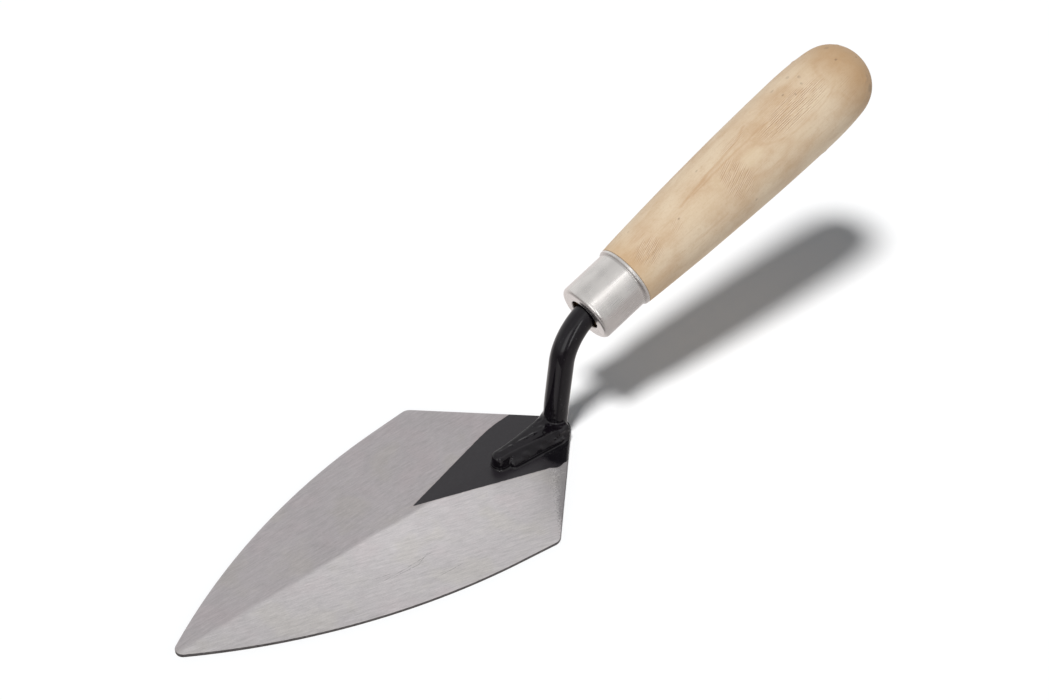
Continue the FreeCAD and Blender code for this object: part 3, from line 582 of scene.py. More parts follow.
def steel_material():
    m = Nodes("ground_steel")
    x, y, z = m.xyz(m.mm)
    # the two ground facets, brushed in different directions; their base colours below carry painted reflection
    wave = m.noise(m.join(x, 0.0, 0.0), scale=0.055, detail=1.0)
    yr = m.math("ADD", y, m.math("MULTIPLY_ADD", wave, -1.6, 0.65))
    near = m.step(yr, -0.8, 0.9)

    def lines(angle, along, across, seed, detail=3.0):
        c, s = math.cos(math.radians(angle)), math.sin(math.radians(angle))
        u = m.math("ADD", m.math("MULTIPLY", x, c), m.math("MULTIPLY", y, s))
        v = m.math("ADD", m.math("MULTIPLY", x, -s), m.math("MULTIPLY", y, c))
        return m.noise(m.join(m.math("MULTIPLY", u, along), m.math("MULTIPLY", v, across), seed),
                       scale=1.0, detail=detail, rough=0.65)
    far_a = lines(2.0, 0.16, 1.35, 1.0)
    far_b = lines(-1.5, 0.30, 3.4, 5.0)
    near_a = lines(-18.0, 0.16, 1.25, 9.0)
    near_b = lines(-12.0, 0.30, 3.2, 13.0)
    grind_a = m.mixf(near, far_a, near_a)
    grind_b = m.mixf(near, far_b, near_b)
    cloud = m.noise(m.mm, scale=0.045, detail=2.0)
    cloud2 = m.noise(m.mm, scale=0.35, detail=3.0)
    # a few long scratches and dark specks on the near facet
    def scratch(x0, y0, x1, y1, width):
        dx, dy = x1 - x0, y1 - y0
        ln = math.hypot(dx, dy)
        dx, dy = dx / ln, dy / ln
        px, py = m.math("SUBTRACT", x, x0), m.math("SUBTRACT", y, y0)
        t = m.math("ADD", m.math("MULTIPLY", px, dx), m.math("MULTIPLY", py, dy))
        w = m.math("ADD", m.math("MULTIPLY", px, -dy), m.math("MULTIPLY", py, dx))
        ends = m.math("MULTIPLY", m.step(t, -0.6, 1.5), m.step(t, ln - 2.0, ln + 0.6, 1.0, 0.0))
        bend = m.math("MULTIPLY", m.math("MULTIPLY", t, m.math("SUBTRACT", ln, t)), 0.0035)
        return m.math("MULTIPLY", ends, m.step(m.math("ABSOLUTE", m.math("SUBTRACT", w, bend)), width * 0.4, width, 1.0, 0.0))
    marks = scratch(30.7, 15.8, 47.9, 15.6, 0.13)
    for s in ((34.0, 17.2, 45.0, 16.2, 0.12), (26.2, 24.6, 36.6, 23.9, 0.11), (44.0, 14.9, 49.5, 13.2, 0.10),
              (31.5, 15.2, 36.5, 17.1, 0.10)):
        marks = m.math("MAXIMUM", marks, scratch(*s))
    marks = m.math("MULTIPLY", marks, m.step(m.noise(m.mm, scale=0.9, detail=3.0, rough=0.7), 0.36, 0.58, 0.15, 1.0))
    dots = m.voronoi(m.vec("MULTIPLY", m.mm, (0.13, 0.13, 0.0)), scale=1.0)
    specks = m.math("MULTIPLY", m.step(dots, 0.012, 0.030, 1.0, 0.0), m.step(m.noise(m.mm, scale=0.09), 0.5, 0.62))

    # painted reflection: the far facet gets a darker base colour and the near facet a lighter one, standing in for how
    # each brushed facet catches the light
    far_facet_shade_colour = (0.500, 0.470, 0.480)
    near_facet_sheen_colour = (0.690, 0.660, 0.668)
    steel = m.mix(near, far_facet_shade_colour, near_facet_sheen_colour)
    tone = m.math("ADD", 1.0, m.math("ADD", m.math("MULTIPLY", m.math("SUBTRACT", grind_a, 0.5), 0.42),
                                     m.math("MULTIPLY", m.math("SUBTRACT", grind_b, 0.5), 0.40)))
    crumb = m.noise(m.mm, scale=2.0, detail=3.0, rough=0.7)
    tone = m.math("ADD", tone, m.math("MULTIPLY", m.math("SUBTRACT", crumb, 0.5), 0.24))
    tone = m.math("ADD", tone, m.math("MULTIPLY", m.math("SUBTRACT", cloud, 0.5), 0.16))
    tone = m.math("ADD", tone, m.math("MULTIPLY", m.math("SUBTRACT", cloud2, 0.5), 0.12))
    # painted sheen: a little brighter by the ridge on the near facet, falling off towards the tip
    ridge_painted_sheen = m.math("MULTIPLY", near, m.math("SUBTRACT", m.step(y, 2.0, 30.0, 0.06, -0.04), m.step(x, 30.0, 95.0, 0.0, 0.17)))
    tone = m.math("ADD", tone, ridge_painted_sheen)
    tone = m.math("MULTIPLY", tone, m.math("SUBTRACT", 1.0, m.math("MULTIPLY", marks, 0.45)))
    tone = m.math("MULTIPLY", tone, m.math("SUBTRACT", 1.0, m.math("MULTIPLY", specks, 0.5)))
    steel = m.mix(1.0, steel, m.join(tone, tone, tone), "MULTIPLY")
    # faint warm and cool clouds in the ground surface
    hue = m.noise(m.vec("ADD", m.mm, (31.0, 7.0, 0.0)), scale=0.07, detail=3.0)
    steel = m.mix(m.step(hue, 0.48, 0.68, 0.0, 0.5), steel, m.mix(1.0, steel, (1.035, 0.985, 0.990), "MULTIPLY"))
    steel = m.mix(m.step(hue, 0.50, 0.34, 0.0, 0.6), steel, m.mix(1.0, steel, (1.01, 1.01, 0.955), "MULTIPLY"))
    # sides and underside: sheared and rolled, darker; the sides' dark colour is partly their duller sheared steel and
    # partly painted shade
    up = m.step(z, 0.06, 0.55)
    edge_n = m.noise(m.vec("MULTIPLY", m.mm, (0.9, 0.9, 4.0)), scale=1.0, detail=3.0)
    side_dullness_and_shade = m.mix(m.step(edge_n, 0.3, 0.7), (0.10, 0.095, 0.095), (0.24, 0.23, 0.23))

    geo = m.t.nodes.new("ShaderNodeNewGeometry")
    nz = m.xyz(geo.outputs["Normal"])[2]
    flat = m.step(nz, 0.75, 0.97)
    below = m.step(nz, -0.75, -0.97)
    under = m.mix(m.step(lines(0.0, 0.03, 1.2, 21.0), 0.3, 0.7), (0.40, 0.39, 0.385), (0.50, 0.485, 0.48))
    steel = m.mix(flat, m.mix(below, side_dullness_and_shade, under), steel)

    # black enamel over the heel: a pointed patch with two rounded rear corners
    wob = m.math("MULTIPLY_ADD", m.noise(m.mm, scale=0.8, detail=2.0), 0.5, -0.25)
    ax, ay_ = 23.3, -1.8                       # the patch's tip

    def side_of(x0, y0, x1, y1):
        dx, dy = x1 - x0, y1 - y0
        ln = math.hypot(dx, dy)
        return m.math("ADD", m.math("MULTIPLY", m.math("SUBTRACT", x, x0), dy / ln),
                      m.math("MULTIPLY", m.math("SUBTRACT", y, y0), -dx / ln))
    e1 = side_of(ax, ay_ + 0.3, -15.45, 11.75)        # near edge: positive outside
    e2 = side_of(-16.0, -13.45, ax, ay_ - 0.1)        # far edge
    e1 = m.math("MULTIPLY", e1, 1.0)
    sm = m.t.nodes.new("ShaderNodeMath")
    sm.operation = "SMOOTH_MAX"
    m.put(sm.inputs[0], e1)
    m.put(sm.inputs[1], e2)
    sm.inputs[2].default_value = 0.6
    e = sm.outputs[0]
    r1 = side_of(-16.5, 12.95, -26.0, 13.5)
    r2 = side_of(-30.0, -13.6, -17.0, -13.1)
    for r, k in ((r1, 1.6), (r2, 2.2)):
        n2 = m.t.nodes.new("ShaderNodeMath")
        n2.operation = "SMOOTH_MAX"
        m.put(n2.inputs[0], e)
        m.put(n2.inputs[1], r)
        n2.inputs[2].default_value = k
        e = n2.outputs[0]
    bx = m.math("SUBTRACT", x, -19.3)
    by = m.math("SUBTRACT", y, 10.7)
    ball = m.math("SUBTRACT", m.math("SQRT", m.math("ADD", m.math("MULTIPLY", bx, bx), m.math("MULTIPLY", by, by))), 2.75)
    n3 = m.t.nodes.new("ShaderNodeMath")
    n3.operation = "SMOOTH_MIN"
    m.put(n3.inputs[0], e)
    m.put(n3.inputs[1], ball)
    n3.inputs[2].default_value = 0.8
    e = n3.outputs[0]
    e = m.math("ADD", e, m.math("MULTIPLY", wob, 0.45))
    e = m.math("ADD", e, m.step(nz, 0.2, -0.5, 0.0, 40.0))
    paint = m.step(e, -0.10, 0.10, 1.0, 0.0)
    # a dark, mottled band along the near heel edge, duller and less metallic
    heel_d = m.math("MULTIPLY", m.math("SUBTRACT", m.math("ADD", x, 35.75), y), 0.7071)
    grit = m.noise(m.mm, scale=1.9, detail=5.0, rough=0.75)
    grit2 = m.noise(m.mm, scale=0.35, detail=2.0)
    reach = m.step(y, 12.0, 36.0, 7.6, 1.2)
    fade = m.math("DIVIDE", heel_d, reach)
    heel_band = m.math("MULTIPLY", m.step(fade, 0.0, 1.0, 1.0, 0.0), m.step(y, 9.0, 13.0))
    heel_band = m.math("MULTIPLY", heel_band, m.step(y, 27.0, 35.0, 1.0, 0.25))
    speck = m.noise(m.mm, scale=4.2, detail=3.0, rough=0.7)
    cover = m.math("ADD", m.math("ADD", m.math("MULTIPLY", grit, 0.5), m.math("MULTIPLY", speck, 0.35)), m.math("MULTIPLY", grit2, 0.15))
    cover = m.math("ADD", cover, m.math("MULTIPLY_ADD", heel_band, 0.30, -0.17))
    heel_band = m.math("MULTIPLY", m.step(cover, 0.40, 0.60), m.step(heel_band, 0.0, 0.26))
    heel_band = m.math("MULTIPLY", heel_band, m.step(nz, 0.2, 0.6))
    tan_edge = m.math("MULTIPLY", m.step(m.math("ABSOLUTE", m.math("SUBTRACT", e, 0.22)), 0.0, 0.28, 1.0, 0.0), 0.16)
    steel = m.mix(tan_edge, steel, (0.36, 0.22, 0.16))
    steel = m.mix(m.math("MULTIPLY", heel_band, 0.72), steel, (0.075, 0.068, 0.070))
    dust = m.noise(m.mm, scale=1.2, detail=4.0)
    black = m.mix(m.step(dust, 0.35, 0.75), (0.0112, 0.0094, 0.0118), (0.0150, 0.0128, 0.0156))
    # a glossy puddle of enamel round the root of the rod; its darker base colour is painted shade and reflection of the
    # rod
    gx, gy = m.math("SUBTRACT", x, -25.5), m.math("SUBTRACT", y, 7.5)
    gd = m.math("SQRT", m.math("ADD", m.math("MULTIPLY", gx, gx), m.math("MULTIPLY", gy, gy)))
    root_gloss_and_shade = m.step(m.math("ADD", gd, m.math("MULTIPLY", wob, 2.0)), 8.6, 6.4)
    black = m.mix(root_gloss_and_shade, black, (0.0040, 0.0034, 0.0048))
    color = m.mix(paint, steel, black)
    metal = m.math("MULTIPLY", m.math("SUBTRACT", 1.0, paint), m.math("SUBTRACT", 1.0, m.math("MULTIPLY", heel_band, 0.7)))
    rough = m.math("ADD", 0.40, m.math("MULTIPLY", m.math("SUBTRACT", grind_a, 0.5), 0.16))
    rough = m.math("ADD", rough, m.math("MULTIPLY", m.math("SUBTRACT", cloud, 0.5), 0.08))
    rough = m.mixf(flat, 0.52, rough)
    prough = m.math("MULTIPLY_ADD", m.noise(m.mm, scale=0.5, detail=3.0), 0.12, 0.24)
    rough = m.mixf(m.math("MULTIPLY", heel_band, 0.8), rough, 0.6)
    rough = m.mixf(paint, rough, m.mixf(root_gloss_and_shade, prough, 0.10))
    height = m.math("ADD", m.math("MULTIPLY", grind_a, 0.6), m.math("MULTIPLY", grind_b, 0.4))
    height = m.math("SUBTRACT", height, m.math("MULTIPLY", marks, 1.2))
    height = m.math("MULTIPLY", height, m.math("SUBTRACT", 1.0, paint))
    peel = m.noise(m.mm, scale=0.9, detail=2.0)
    height = m.math("ADD", height, m.math("MULTIPLY", paint, m.math("MULTIPLY_ADD", peel, 1.2, 6.0)))
    m.set(Base_Color=color, Metallic=metal, Roughness=rough, Normal=m.bump(height, 0.0000075))
    return m.mat


def enamel_material(name):
    m = Nodes(name)
    x, y, z = m.xyz(m.mm)
    n1 = m.noise(m.mm, scale=0.55, detail=3.0)
    n2 = m.noise(m.mm, scale=2.2, detail=3.0, rough=0.6)
    peel = m.noise(m.mm, scale=1.1, detail=1.0)
    color = m.mix(m.step(n1, 0.3, 0.7), (0.0026, 0.0016, 0.0030), (0.0050, 0.0034, 0.0056))
    # dust and rubbed spots
    nib = m.voronoi(m.mm, scale=0.55)
    nibs = m.step(nib, 0.05, 0.11, 1.0, 0.0)
    color = m.mix(m.math("MULTIPLY", nibs, 0.5), color, (0.05, 0.05, 0.052))
    rough = m.math("ADD", 0.07, m.math("MULTIPLY", m.step(n1, 0.35, 0.75), 0.07))
    rough = m.math("ADD", rough, m.math("MULTIPLY", m.step(n2, 0.55, 0.8), 0.05))
    height = m.math("ADD", m.math("MULTIPLY", peel, 0.45), m.math("MULTIPLY", n2, 0.02))
    height = m.math("ADD", height, m.math("MULTIPLY", nibs, 0.30))
    m.set(Base_Color=color, Metallic=0.0, Roughness=rough, Normal=m.bump(height, 0.00003))
    m.bsdf.inputs["IOR"].default_value = 1.385
    return m.mat


def handle_space(m):
    """coordinates along the handle: x from the rim to the butt, y across, z down, mm"""
    n = m.t.nodes.new("ShaderNodeMapping")
    n.vector_type = "TEXTURE"
    m.put(n.inputs["Vector"], m.mm)
    n.inputs["Location"].default_value = tuple(RIM)
    n.inputs["Rotation"].default_value = (0.0, math.pi + TILT, 0.0)
    return n.outputs[0]


def nickel_material():
    m = Nodes("plated_steel")
    p = handle_space(m)
    x, y, z = m.xyz(p)
    ang = m.math("ARCTAN2", z, y)
    fine = m.noise(m.join(m.math("MULTIPLY", x, 0.12), m.math("MULTIPLY", ang, 26.0), 0.0), scale=1.0, detail=3.0)
    draw = m.noise(m.join(m.math("MULTIPLY", x, 0.05), m.math("MULTIPLY", ang, 7.0), 3.0), scale=1.0, detail=2.0)
    cloud = m.noise(p, scale=0.18, detail=3.0)
    color = m.mix(m.step(cloud, 0.3, 0.7), (0.640, 0.618, 0.600), (0.720, 0.694, 0.672))
    color = m.mix(m.math("MULTIPLY", m.step(draw, 0.45, 0.75), 0.10), color, (0.50, 0.47, 0.45))
    # painted shade in the hollow just in front of the lip
    darkening = m.math("MULTIPLY", m.step(x, -1.9, -1.5), m.step(x, -1.3, -0.8, 1.0, 0.0))
    color = m.mix(m.math("MULTIPLY", darkening, 0.35), color, (0.20, 0.18, 0.17))
    rough = m.math("ADD", 0.25, m.math("MULTIPLY", m.step(fine, 0.3, 0.8), 0.06))
    rough = m.math("ADD", rough, m.math("MULTIPLY", m.step(cloud, 0.4, 0.8), 0.05))
    height = m.math("ADD", m.math("MULTIPLY", fine, 0.5), m.math("MULTIPLY", draw, 0.3))
    m.set(Base_Color=color, Metallic=1.0, Roughness=rough, Normal=m.bump(height, 0.0000018))
    return m.mat


def wood_material():
    m = Nodes("pale_wood")
    p = handle_space(m)
    x, y, z = m.xyz(p)
    # arc length round the handle, zero on the side that faces up and to +Y
    nc = m.math("ADD", m.math("MULTIPLY", y, 0.588), m.math("MULTIPLY", z, -0.809))
    ne = m.math("ADD", m.math("MULTIPLY", y, 0.809), m.math("MULTIPLY", z, 0.588))
    sarc = m.math("MULTIPLY", m.math("ARCTAN2", ne, nc), 12.2)
    q = m.join(x, sarc, 0.0)
    wob = m.noise(m.vec("MULTIPLY", p, (0.05, 0.10, 0.10)), scale=1.0, detail=2.0)
    wob2 = m.noise(m.vec("MULTIPLY", p, (0.16, 0.35, 0.35)), scale=1.0, detail=3.0)
    drift = m.math("ADD", m.math("MULTIPLY_ADD", wob, 3.2, -1.6), m.math("MULTIPLY_ADD", wob2, 1.2, -0.6))
    xs = m.math("ADD", x, m.math("MULTIPLY", drift, 1.4))
    ss = m.math("ADD", sarc, m.math("MULTIPLY", drift, 0.8))

    def blob(cx, cs, lx, ls, lo=0.25, hi=1.2):
        dx = m.math("DIVIDE", m.math("SUBTRACT", xs, cx), lx)
        dy = m.math("DIVIDE", m.math("SUBTRACT", ss, cs), ls)
        d2 = m.math("ADD", m.math("MULTIPLY", dx, dx), m.math("MULTIPLY", dy, dy))
        return m.step(d2, lo, hi, 1.0, 0.0)

    def arc(cx, cs, lx, ls, width, below=True):
        dx = m.math("DIVIDE", m.math("SUBTRACT", xs, cx), lx)
        dy = m.math("DIVIDE", m.math("SUBTRACT", ss, cs), ls)
        d = m.math("SQRT", m.math("ADD", m.math("MULTIPLY", dx, dx), m.math("MULTIPLY", dy, dy)))
        line = m.step(m.math("ABSOLUTE", m.math("SUBTRACT", d, 1.0)), 0.0, width, 1.0, 0.0)
        return m.math("MULTIPLY", line, m.step(dy, 0.0, 0.5) if below else m.step(dy, -0.5, 0.0, 1.0, 0.0))

    def stroke(points, width):
        out = None
        for (x0, s0), (x1, s1) in zip(points[:-1], points[1:]):
            dx, ds = x1 - x0, s1 - s0
            ln = math.hypot(dx, ds)
            dx, ds = dx / ln, ds / ln
            px, ps = m.math("SUBTRACT", xs, x0), m.math("SUBTRACT", ss, s0)
            t = m.math("MINIMUM", m.math("MAXIMUM", m.math("ADD", m.math("MULTIPLY", px, dx), m.math("MULTIPLY", ps, ds)), 0.0), ln)
            ex = m.math("SUBTRACT", px, m.math("MULTIPLY", t, dx))
            es = m.math("SUBTRACT", ps, m.math("MULTIPLY", t, ds))
            d = m.math("SQRT", m.math("ADD", m.math("MULTIPLY", m.math("MULTIPLY", ex, ex), 0.25), m.math("MULTIPLY", es, es)))
            v = m.step(d, 0.0, width, 1.0, 0.0)
            out = v if out is None else m.math("MAXIMUM", out, v)
        return out

    # growth rings about a pith well outside the handle, faint
    ry = m.math("ADD", y, m.math("MULTIPLY_ADD", x, 0.10, -26.0))
    rz = m.math("ADD", z, m.math("MULTIPLY_ADD", x, -0.05, 15.0))
    rr = m.math("SQRT", m.math("ADD", m.math("MULTIPLY", ry, ry), m.math("MULTIPLY", rz, rz)))
    rr = m.math("ADD", rr, m.math("MULTIPLY", drift, 2.2))
    ring = m.math("FRACT", m.math("MULTIPLY", rr, 0.14))
    late = m.math("MULTIPLY", m.step(ring, 0.35, 0.93), m.step(ring, 0.95, 1.0, 1.0, 0.0))
    fibre = m.noise(m.vec("MULTIPLY", p, (0.10, 2.6, 2.6)), scale=1.0, detail=4.0, rough=0.6)
    fibre2 = m.noise(m.vec("MULTIPLY", p, (0.30, 6.0, 6.0)), scale=1.0, detail=2.0, rough=0.6)
    cloud = m.noise(m.vec("MULTIPLY", p, (0.06, 0.10, 0.10)), scale=1.0, detail=3.0)
    mottle = m.noise(m.vec("MULTIPLY", p, (0.28, 0.42, 0.42)), scale=1.0, detail=4.0, rough=0.6)
    grain = m.noise(m.vec("MULTIPLY", p, (1.1, 1.6, 1.6)), scale=1.0, detail=3.0, rough=0.7)
    # open vessels: short dashes along the grain, gathered in patches
    def pores(lean, pitch, seed):
        c, sn = math.cos(math.radians(lean)), math.sin(math.radians(lean))
        u = m.math("SUBTRACT", m.math("MULTIPLY", x, c), m.math("MULTIPLY", sarc, sn))
        v = m.math("ADD", m.math("MULTIPLY", x, sn), m.math("MULTIPLY", sarc, c))
        wav = m.noise(m.join(m.math("MULTIPLY", u, 0.10), m.math("MULTIPLY", v, 0.55), seed), detail=2.0)
        ln = m.math("SINE", m.math("ADD", m.math("MULTIPLY", v, 2 * math.pi / pitch), m.math("MULTIPLY", wav, 9.0)))
        gate = m.step(m.noise(m.join(m.math("MULTIPLY", u, 0.26), m.math("MULTIPLY", v, 1.5), seed + 3.0), detail=1.0), 0.38, 0.55)
        return m.math("MULTIPLY", m.step(ln, -0.1, 0.9), gate), m.math("MULTIPLY", m.step(ln, -0.2, -0.9), gate)

    def among(blobs):
        out = None
        for args, gain in blobs:
            v = m.math("MULTIPLY", blob(*args), gain)
            out = v if out is None else m.math("MAXIMUM", out, v)
        return out
    slant, slant_gap = pores(20.0, 0.52, 2.0)
    straight, straight_gap = pores(1.5, 0.50, 11.0)
    dash_b = m.noise(m.vec("MULTIPLY", p, (0.18, 2.3, 2.3)), scale=1.0, detail=1.0, rough=0.5)
    patch_s = among((((7.2, -0.9, 5.2, 4.8), 1.0), ((18.5, -0.5, 2.2, 2.6), 0.45), ((41.5, 1.6, 5.4, 7.2), 0.9)))
    patch_l = among((((69.0, -2.4, 14.5, 4.4), 1.1), ((48.0, -8.0, 6.0, 1.6), 0.6), ((86.0, 3.0, 3.0, 5.0), 0.4),
                     ((66.0, -8.5, 16.0, 1.2), 0.35)))
    elsewhere = m.math("MULTIPLY", m.step(cloud, 0.52, 0.64), m.step(m.math("ABSOLUTE", sarc), 17.0, 21.0, 0.12, 0.8))
    ves = m.math("ADD", m.math("MULTIPLY", slant, patch_s), m.math("MULTIPLY", straight, patch_l))
    ves = m.math("MAXIMUM", ves, m.math("MULTIPLY", m.step(dash_b, 0.56, 0.68), elsewhere))
    gap = m.math("ADD", m.math("MULTIPLY", slant_gap, patch_s), m.math("MULTIPLY", straight_gap, patch_l))
    sand = m.noise(p, scale=1.9, detail=3.0, rough=0.7)

    base, tan, brown = srgb(208, 184, 157), srgb(190, 160, 126), srgb(160, 128, 96)
    pale, red = srgb(220, 202, 178), srgb(178, 142, 112)
    color = m.mix(m.step(cloud, 0.32, 0.68), pale, base)
    color = m.mix(m.math("MULTIPLY", m.step(cloud, 0.50, 0.75), 0.30), color, tan)
    color = m.mix(m.math("MULTIPLY", late, 0.15), color, tan)
    color = m.mix(m.math("MULTIPLY", m.step(mottle, 0.48, 0.72), 0.24), color, tan)
    color = m.mix(m.math("MULTIPLY", m.step(sand, 0.50, 0.72), 0.24), color, tan)
    color = m.mix(m.math("MULTIPLY", m.step(sand, 0.48, 0.28), 0.30), color, pale)
    color = m.mix(m.math("MULTIPLY", m.step(mottle, 0.50, 0.30), 0.28), color, pale)
    color = m.mix(m.math("MULTIPLY", m.step(grain, 0.52, 0.74), 0.18), color, tan)
    color = m.mix(m.math("MULTIPLY", m.step(fibre, 0.48, 0.75), 0.26), color, tan)
    color = m.mix(m.math("MULTIPLY", m.step(fibre2, 0.5, 0.8), 0.14), color, red)
    # pale places
    light = blob(49.0, 0.0, 5.2, 2.4)
    for args, gain in (((28.0, 1.0, 9.0, 4.2), 0.45), ((84.0, 0.5, 2.6, 3.2), 0.6), ((74.0, 0.0, 7.0, 1.6), 0.45),
                       ((62.0, 4.5, 9.0, 3.0), 0.35), ((36.0, -1.5, 2.6, 2.2), 0.6), ((82.0, -8.0, 3.0, 3.0), 0.4)):
        light = m.math("MAXIMUM", light, m.math("MULTIPLY", blob(*args), gain))
    color = m.mix(m.math("MULTIPLY", light, 0.46), color, srgb(222, 205, 178))
    # darker figure
    shade = stroke([(23.0, -4.6), (30.0, -5.1), (40.0, -5.9), (49.0, -7.4), (54.0, -9.2)], 0.85)
    shade = m.math("MAXIMUM", shade, m.math("MULTIPLY", stroke([(27.0, -4.3), (41.0, -4.5), (57.0, -4.9), (60.0, -4.4)], 0.6), 0.8))
    shade = m.math("MAXIMUM", shade, m.math("MULTIPLY", arc(52.5, 0.6, 9.0, 5.8, 0.30), 0.60))
    shade = m.math("MAXIMUM", shade, m.math("MULTIPLY", arc(49.0, 0.2, 6.0, 3.6, 0.26), 0.28))
    shade = m.math("MAXIMUM", shade, m.math("MULTIPLY", arc(69.0, -2.0, 15.0, 4.6, 0.10, below=True), 0.55))
    shade = m.math("MAXIMUM", shade, m.math("MULTIPLY", arc(86.5, 0.0, 4.5, 8.0, 0.20, below=False), 0.45))
    shade = m.math("MAXIMUM", shade, m.math("MULTIPLY", arc(88.0, 0.0, 5.5, 10.0, 0.16), 0.5))
    shade = m.math("MAXIMUM", shade, m.math("MULTIPLY", stroke([(20.0, 6.8), (32.0, 7.2)], 0.9), 0.6))
    shade = m.math("MAXIMUM", shade, m.math("MULTIPLY", blob(9.0, 8.0, 7.0, 2.2), 0.55))
    shade = m.math("MAXIMUM", shade, m.math("MULTIPLY", blob(8.0, -8.0, 5.0, 2.4), 0.5))
    shade = m.math("MULTIPLY", shade, m.math("ADD", 0.55, m.math("MULTIPLY", m.step(fibre, 0.35, 0.65), 0.45)))
    color = m.mix(m.math("MULTIPLY", shade, 0.52), color, srgb(184, 146, 110))
    color = m.mix(m.math("MULTIPLY", ves, 0.42), color, srgb(166, 122, 92))
    color = m.mix(m.math("MULTIPLY", gap, 0.50), color, srgb(234, 216, 194))
    # warmer by the ferrule, browner and handled round the butt
    color = m.mix(m.step(x, 0.0, 9.0, 0.34, 0.0), color, srgb(192, 156, 112))
    butt = m.math("MULTIPLY", m.step(m.math("ADD", x, m.math("MULTIPLY", drift, 1.5)), 76.0, 93.0), 0.70)
    color = m.mix(butt, color, srgb(178, 144, 106))
    # smudges, specks and small pits
    darkening = m.noise(m.vec("MULTIPLY", p, (0.35, 0.5, 0.5)), scale=1.0, detail=4.0, rough=0.7)
    smudge = blob(93.0, 10.3, 1.5, 1.5, 0.1, 1.3)
    for args, gain in (((91.3, -11.0, 0.8, 0.8), 0.8), ((95.4, -1.7, 0.5, 0.5), 0.9), ((76.0, -11.0, 0.7, 0.7), 0.6),
                       ((78.4, -7.9, 0.55, 0.7), 0.75), ((76.8, -5.9, 0.45, 0.5), 0.6), ((34.6, -9.6, 0.6, 0.5), 0.6),
                       ((69.0, -11.6, 0.8, 0.5), 0.6), ((73.0, -4.6, 0.35, 0.5), 0.8), ((94.4, 6.5, 0.7, 1.2), 0.5)):
        smudge = m.math("MAXIMUM", smudge, m.math("MULTIPLY", blob(*args, 0.1, 1.3), gain))
    smudge = m.math("MULTIPLY", smudge, m.math("ADD", 0.5, m.step(darkening, 0.4, 0.7, 0.0, 0.5)))
    color = m.mix(m.math("MULTIPLY", smudge, 0.62), color, srgb(122, 108, 96))
    pits = m.voronoi(m.vec("MULTIPLY", p, (0.11, 0.15, 0.15)), scale=1.0)
    pit = m.math("MULTIPLY", m.step(pits, 0.03, 0.07, 1.0, 0.0), m.step(m.noise(p, scale=0.06), 0.46, 0.56))
    color = m.mix(m.math("MULTIPLY", pit, 0.5), color, srgb(126, 106, 88))
    # end of the spigot, seen in the ferrule's mouth: painted shade, dark brown
    color = m.mix(m.step(x, -13.0, -2.0, 0.85, 0.0), color, srgb(120, 84, 52))
    color = m.mix(1.0, color, (0.905, 0.885, 0.850), "MULTIPLY")
    rough = m.math("ADD", 0.46, m.math("MULTIPLY", m.step(fibre, 0.3, 0.8), 0.12))
    rough = m.math("ADD", rough, m.math("MULTIPLY", ves, 0.15))
    height = m.math("MULTIPLY", fibre, 0.7)
    height = m.math("ADD", height, m.math("MULTIPLY", fibre2, 0.5))
    height = m.math("ADD", height, m.math("MULTIPLY", grain, 0.6))
    height = m.math("SUBTRACT", height, m.math("MULTIPLY", ves, 2.0))
    height = m.math("SUBTRACT", height, m.math("MULTIPLY", pit, 3.0))
    m.set(Base_Color=color, Metallic=0.0, Roughness=rough, Normal=m.bump(height, 0.00003))
    m.bsdf.inputs["IOR"].default_value = 1.45
    m.bsdf.inputs["Specular IOR Level"].default_value = 0.22
    return m.mat


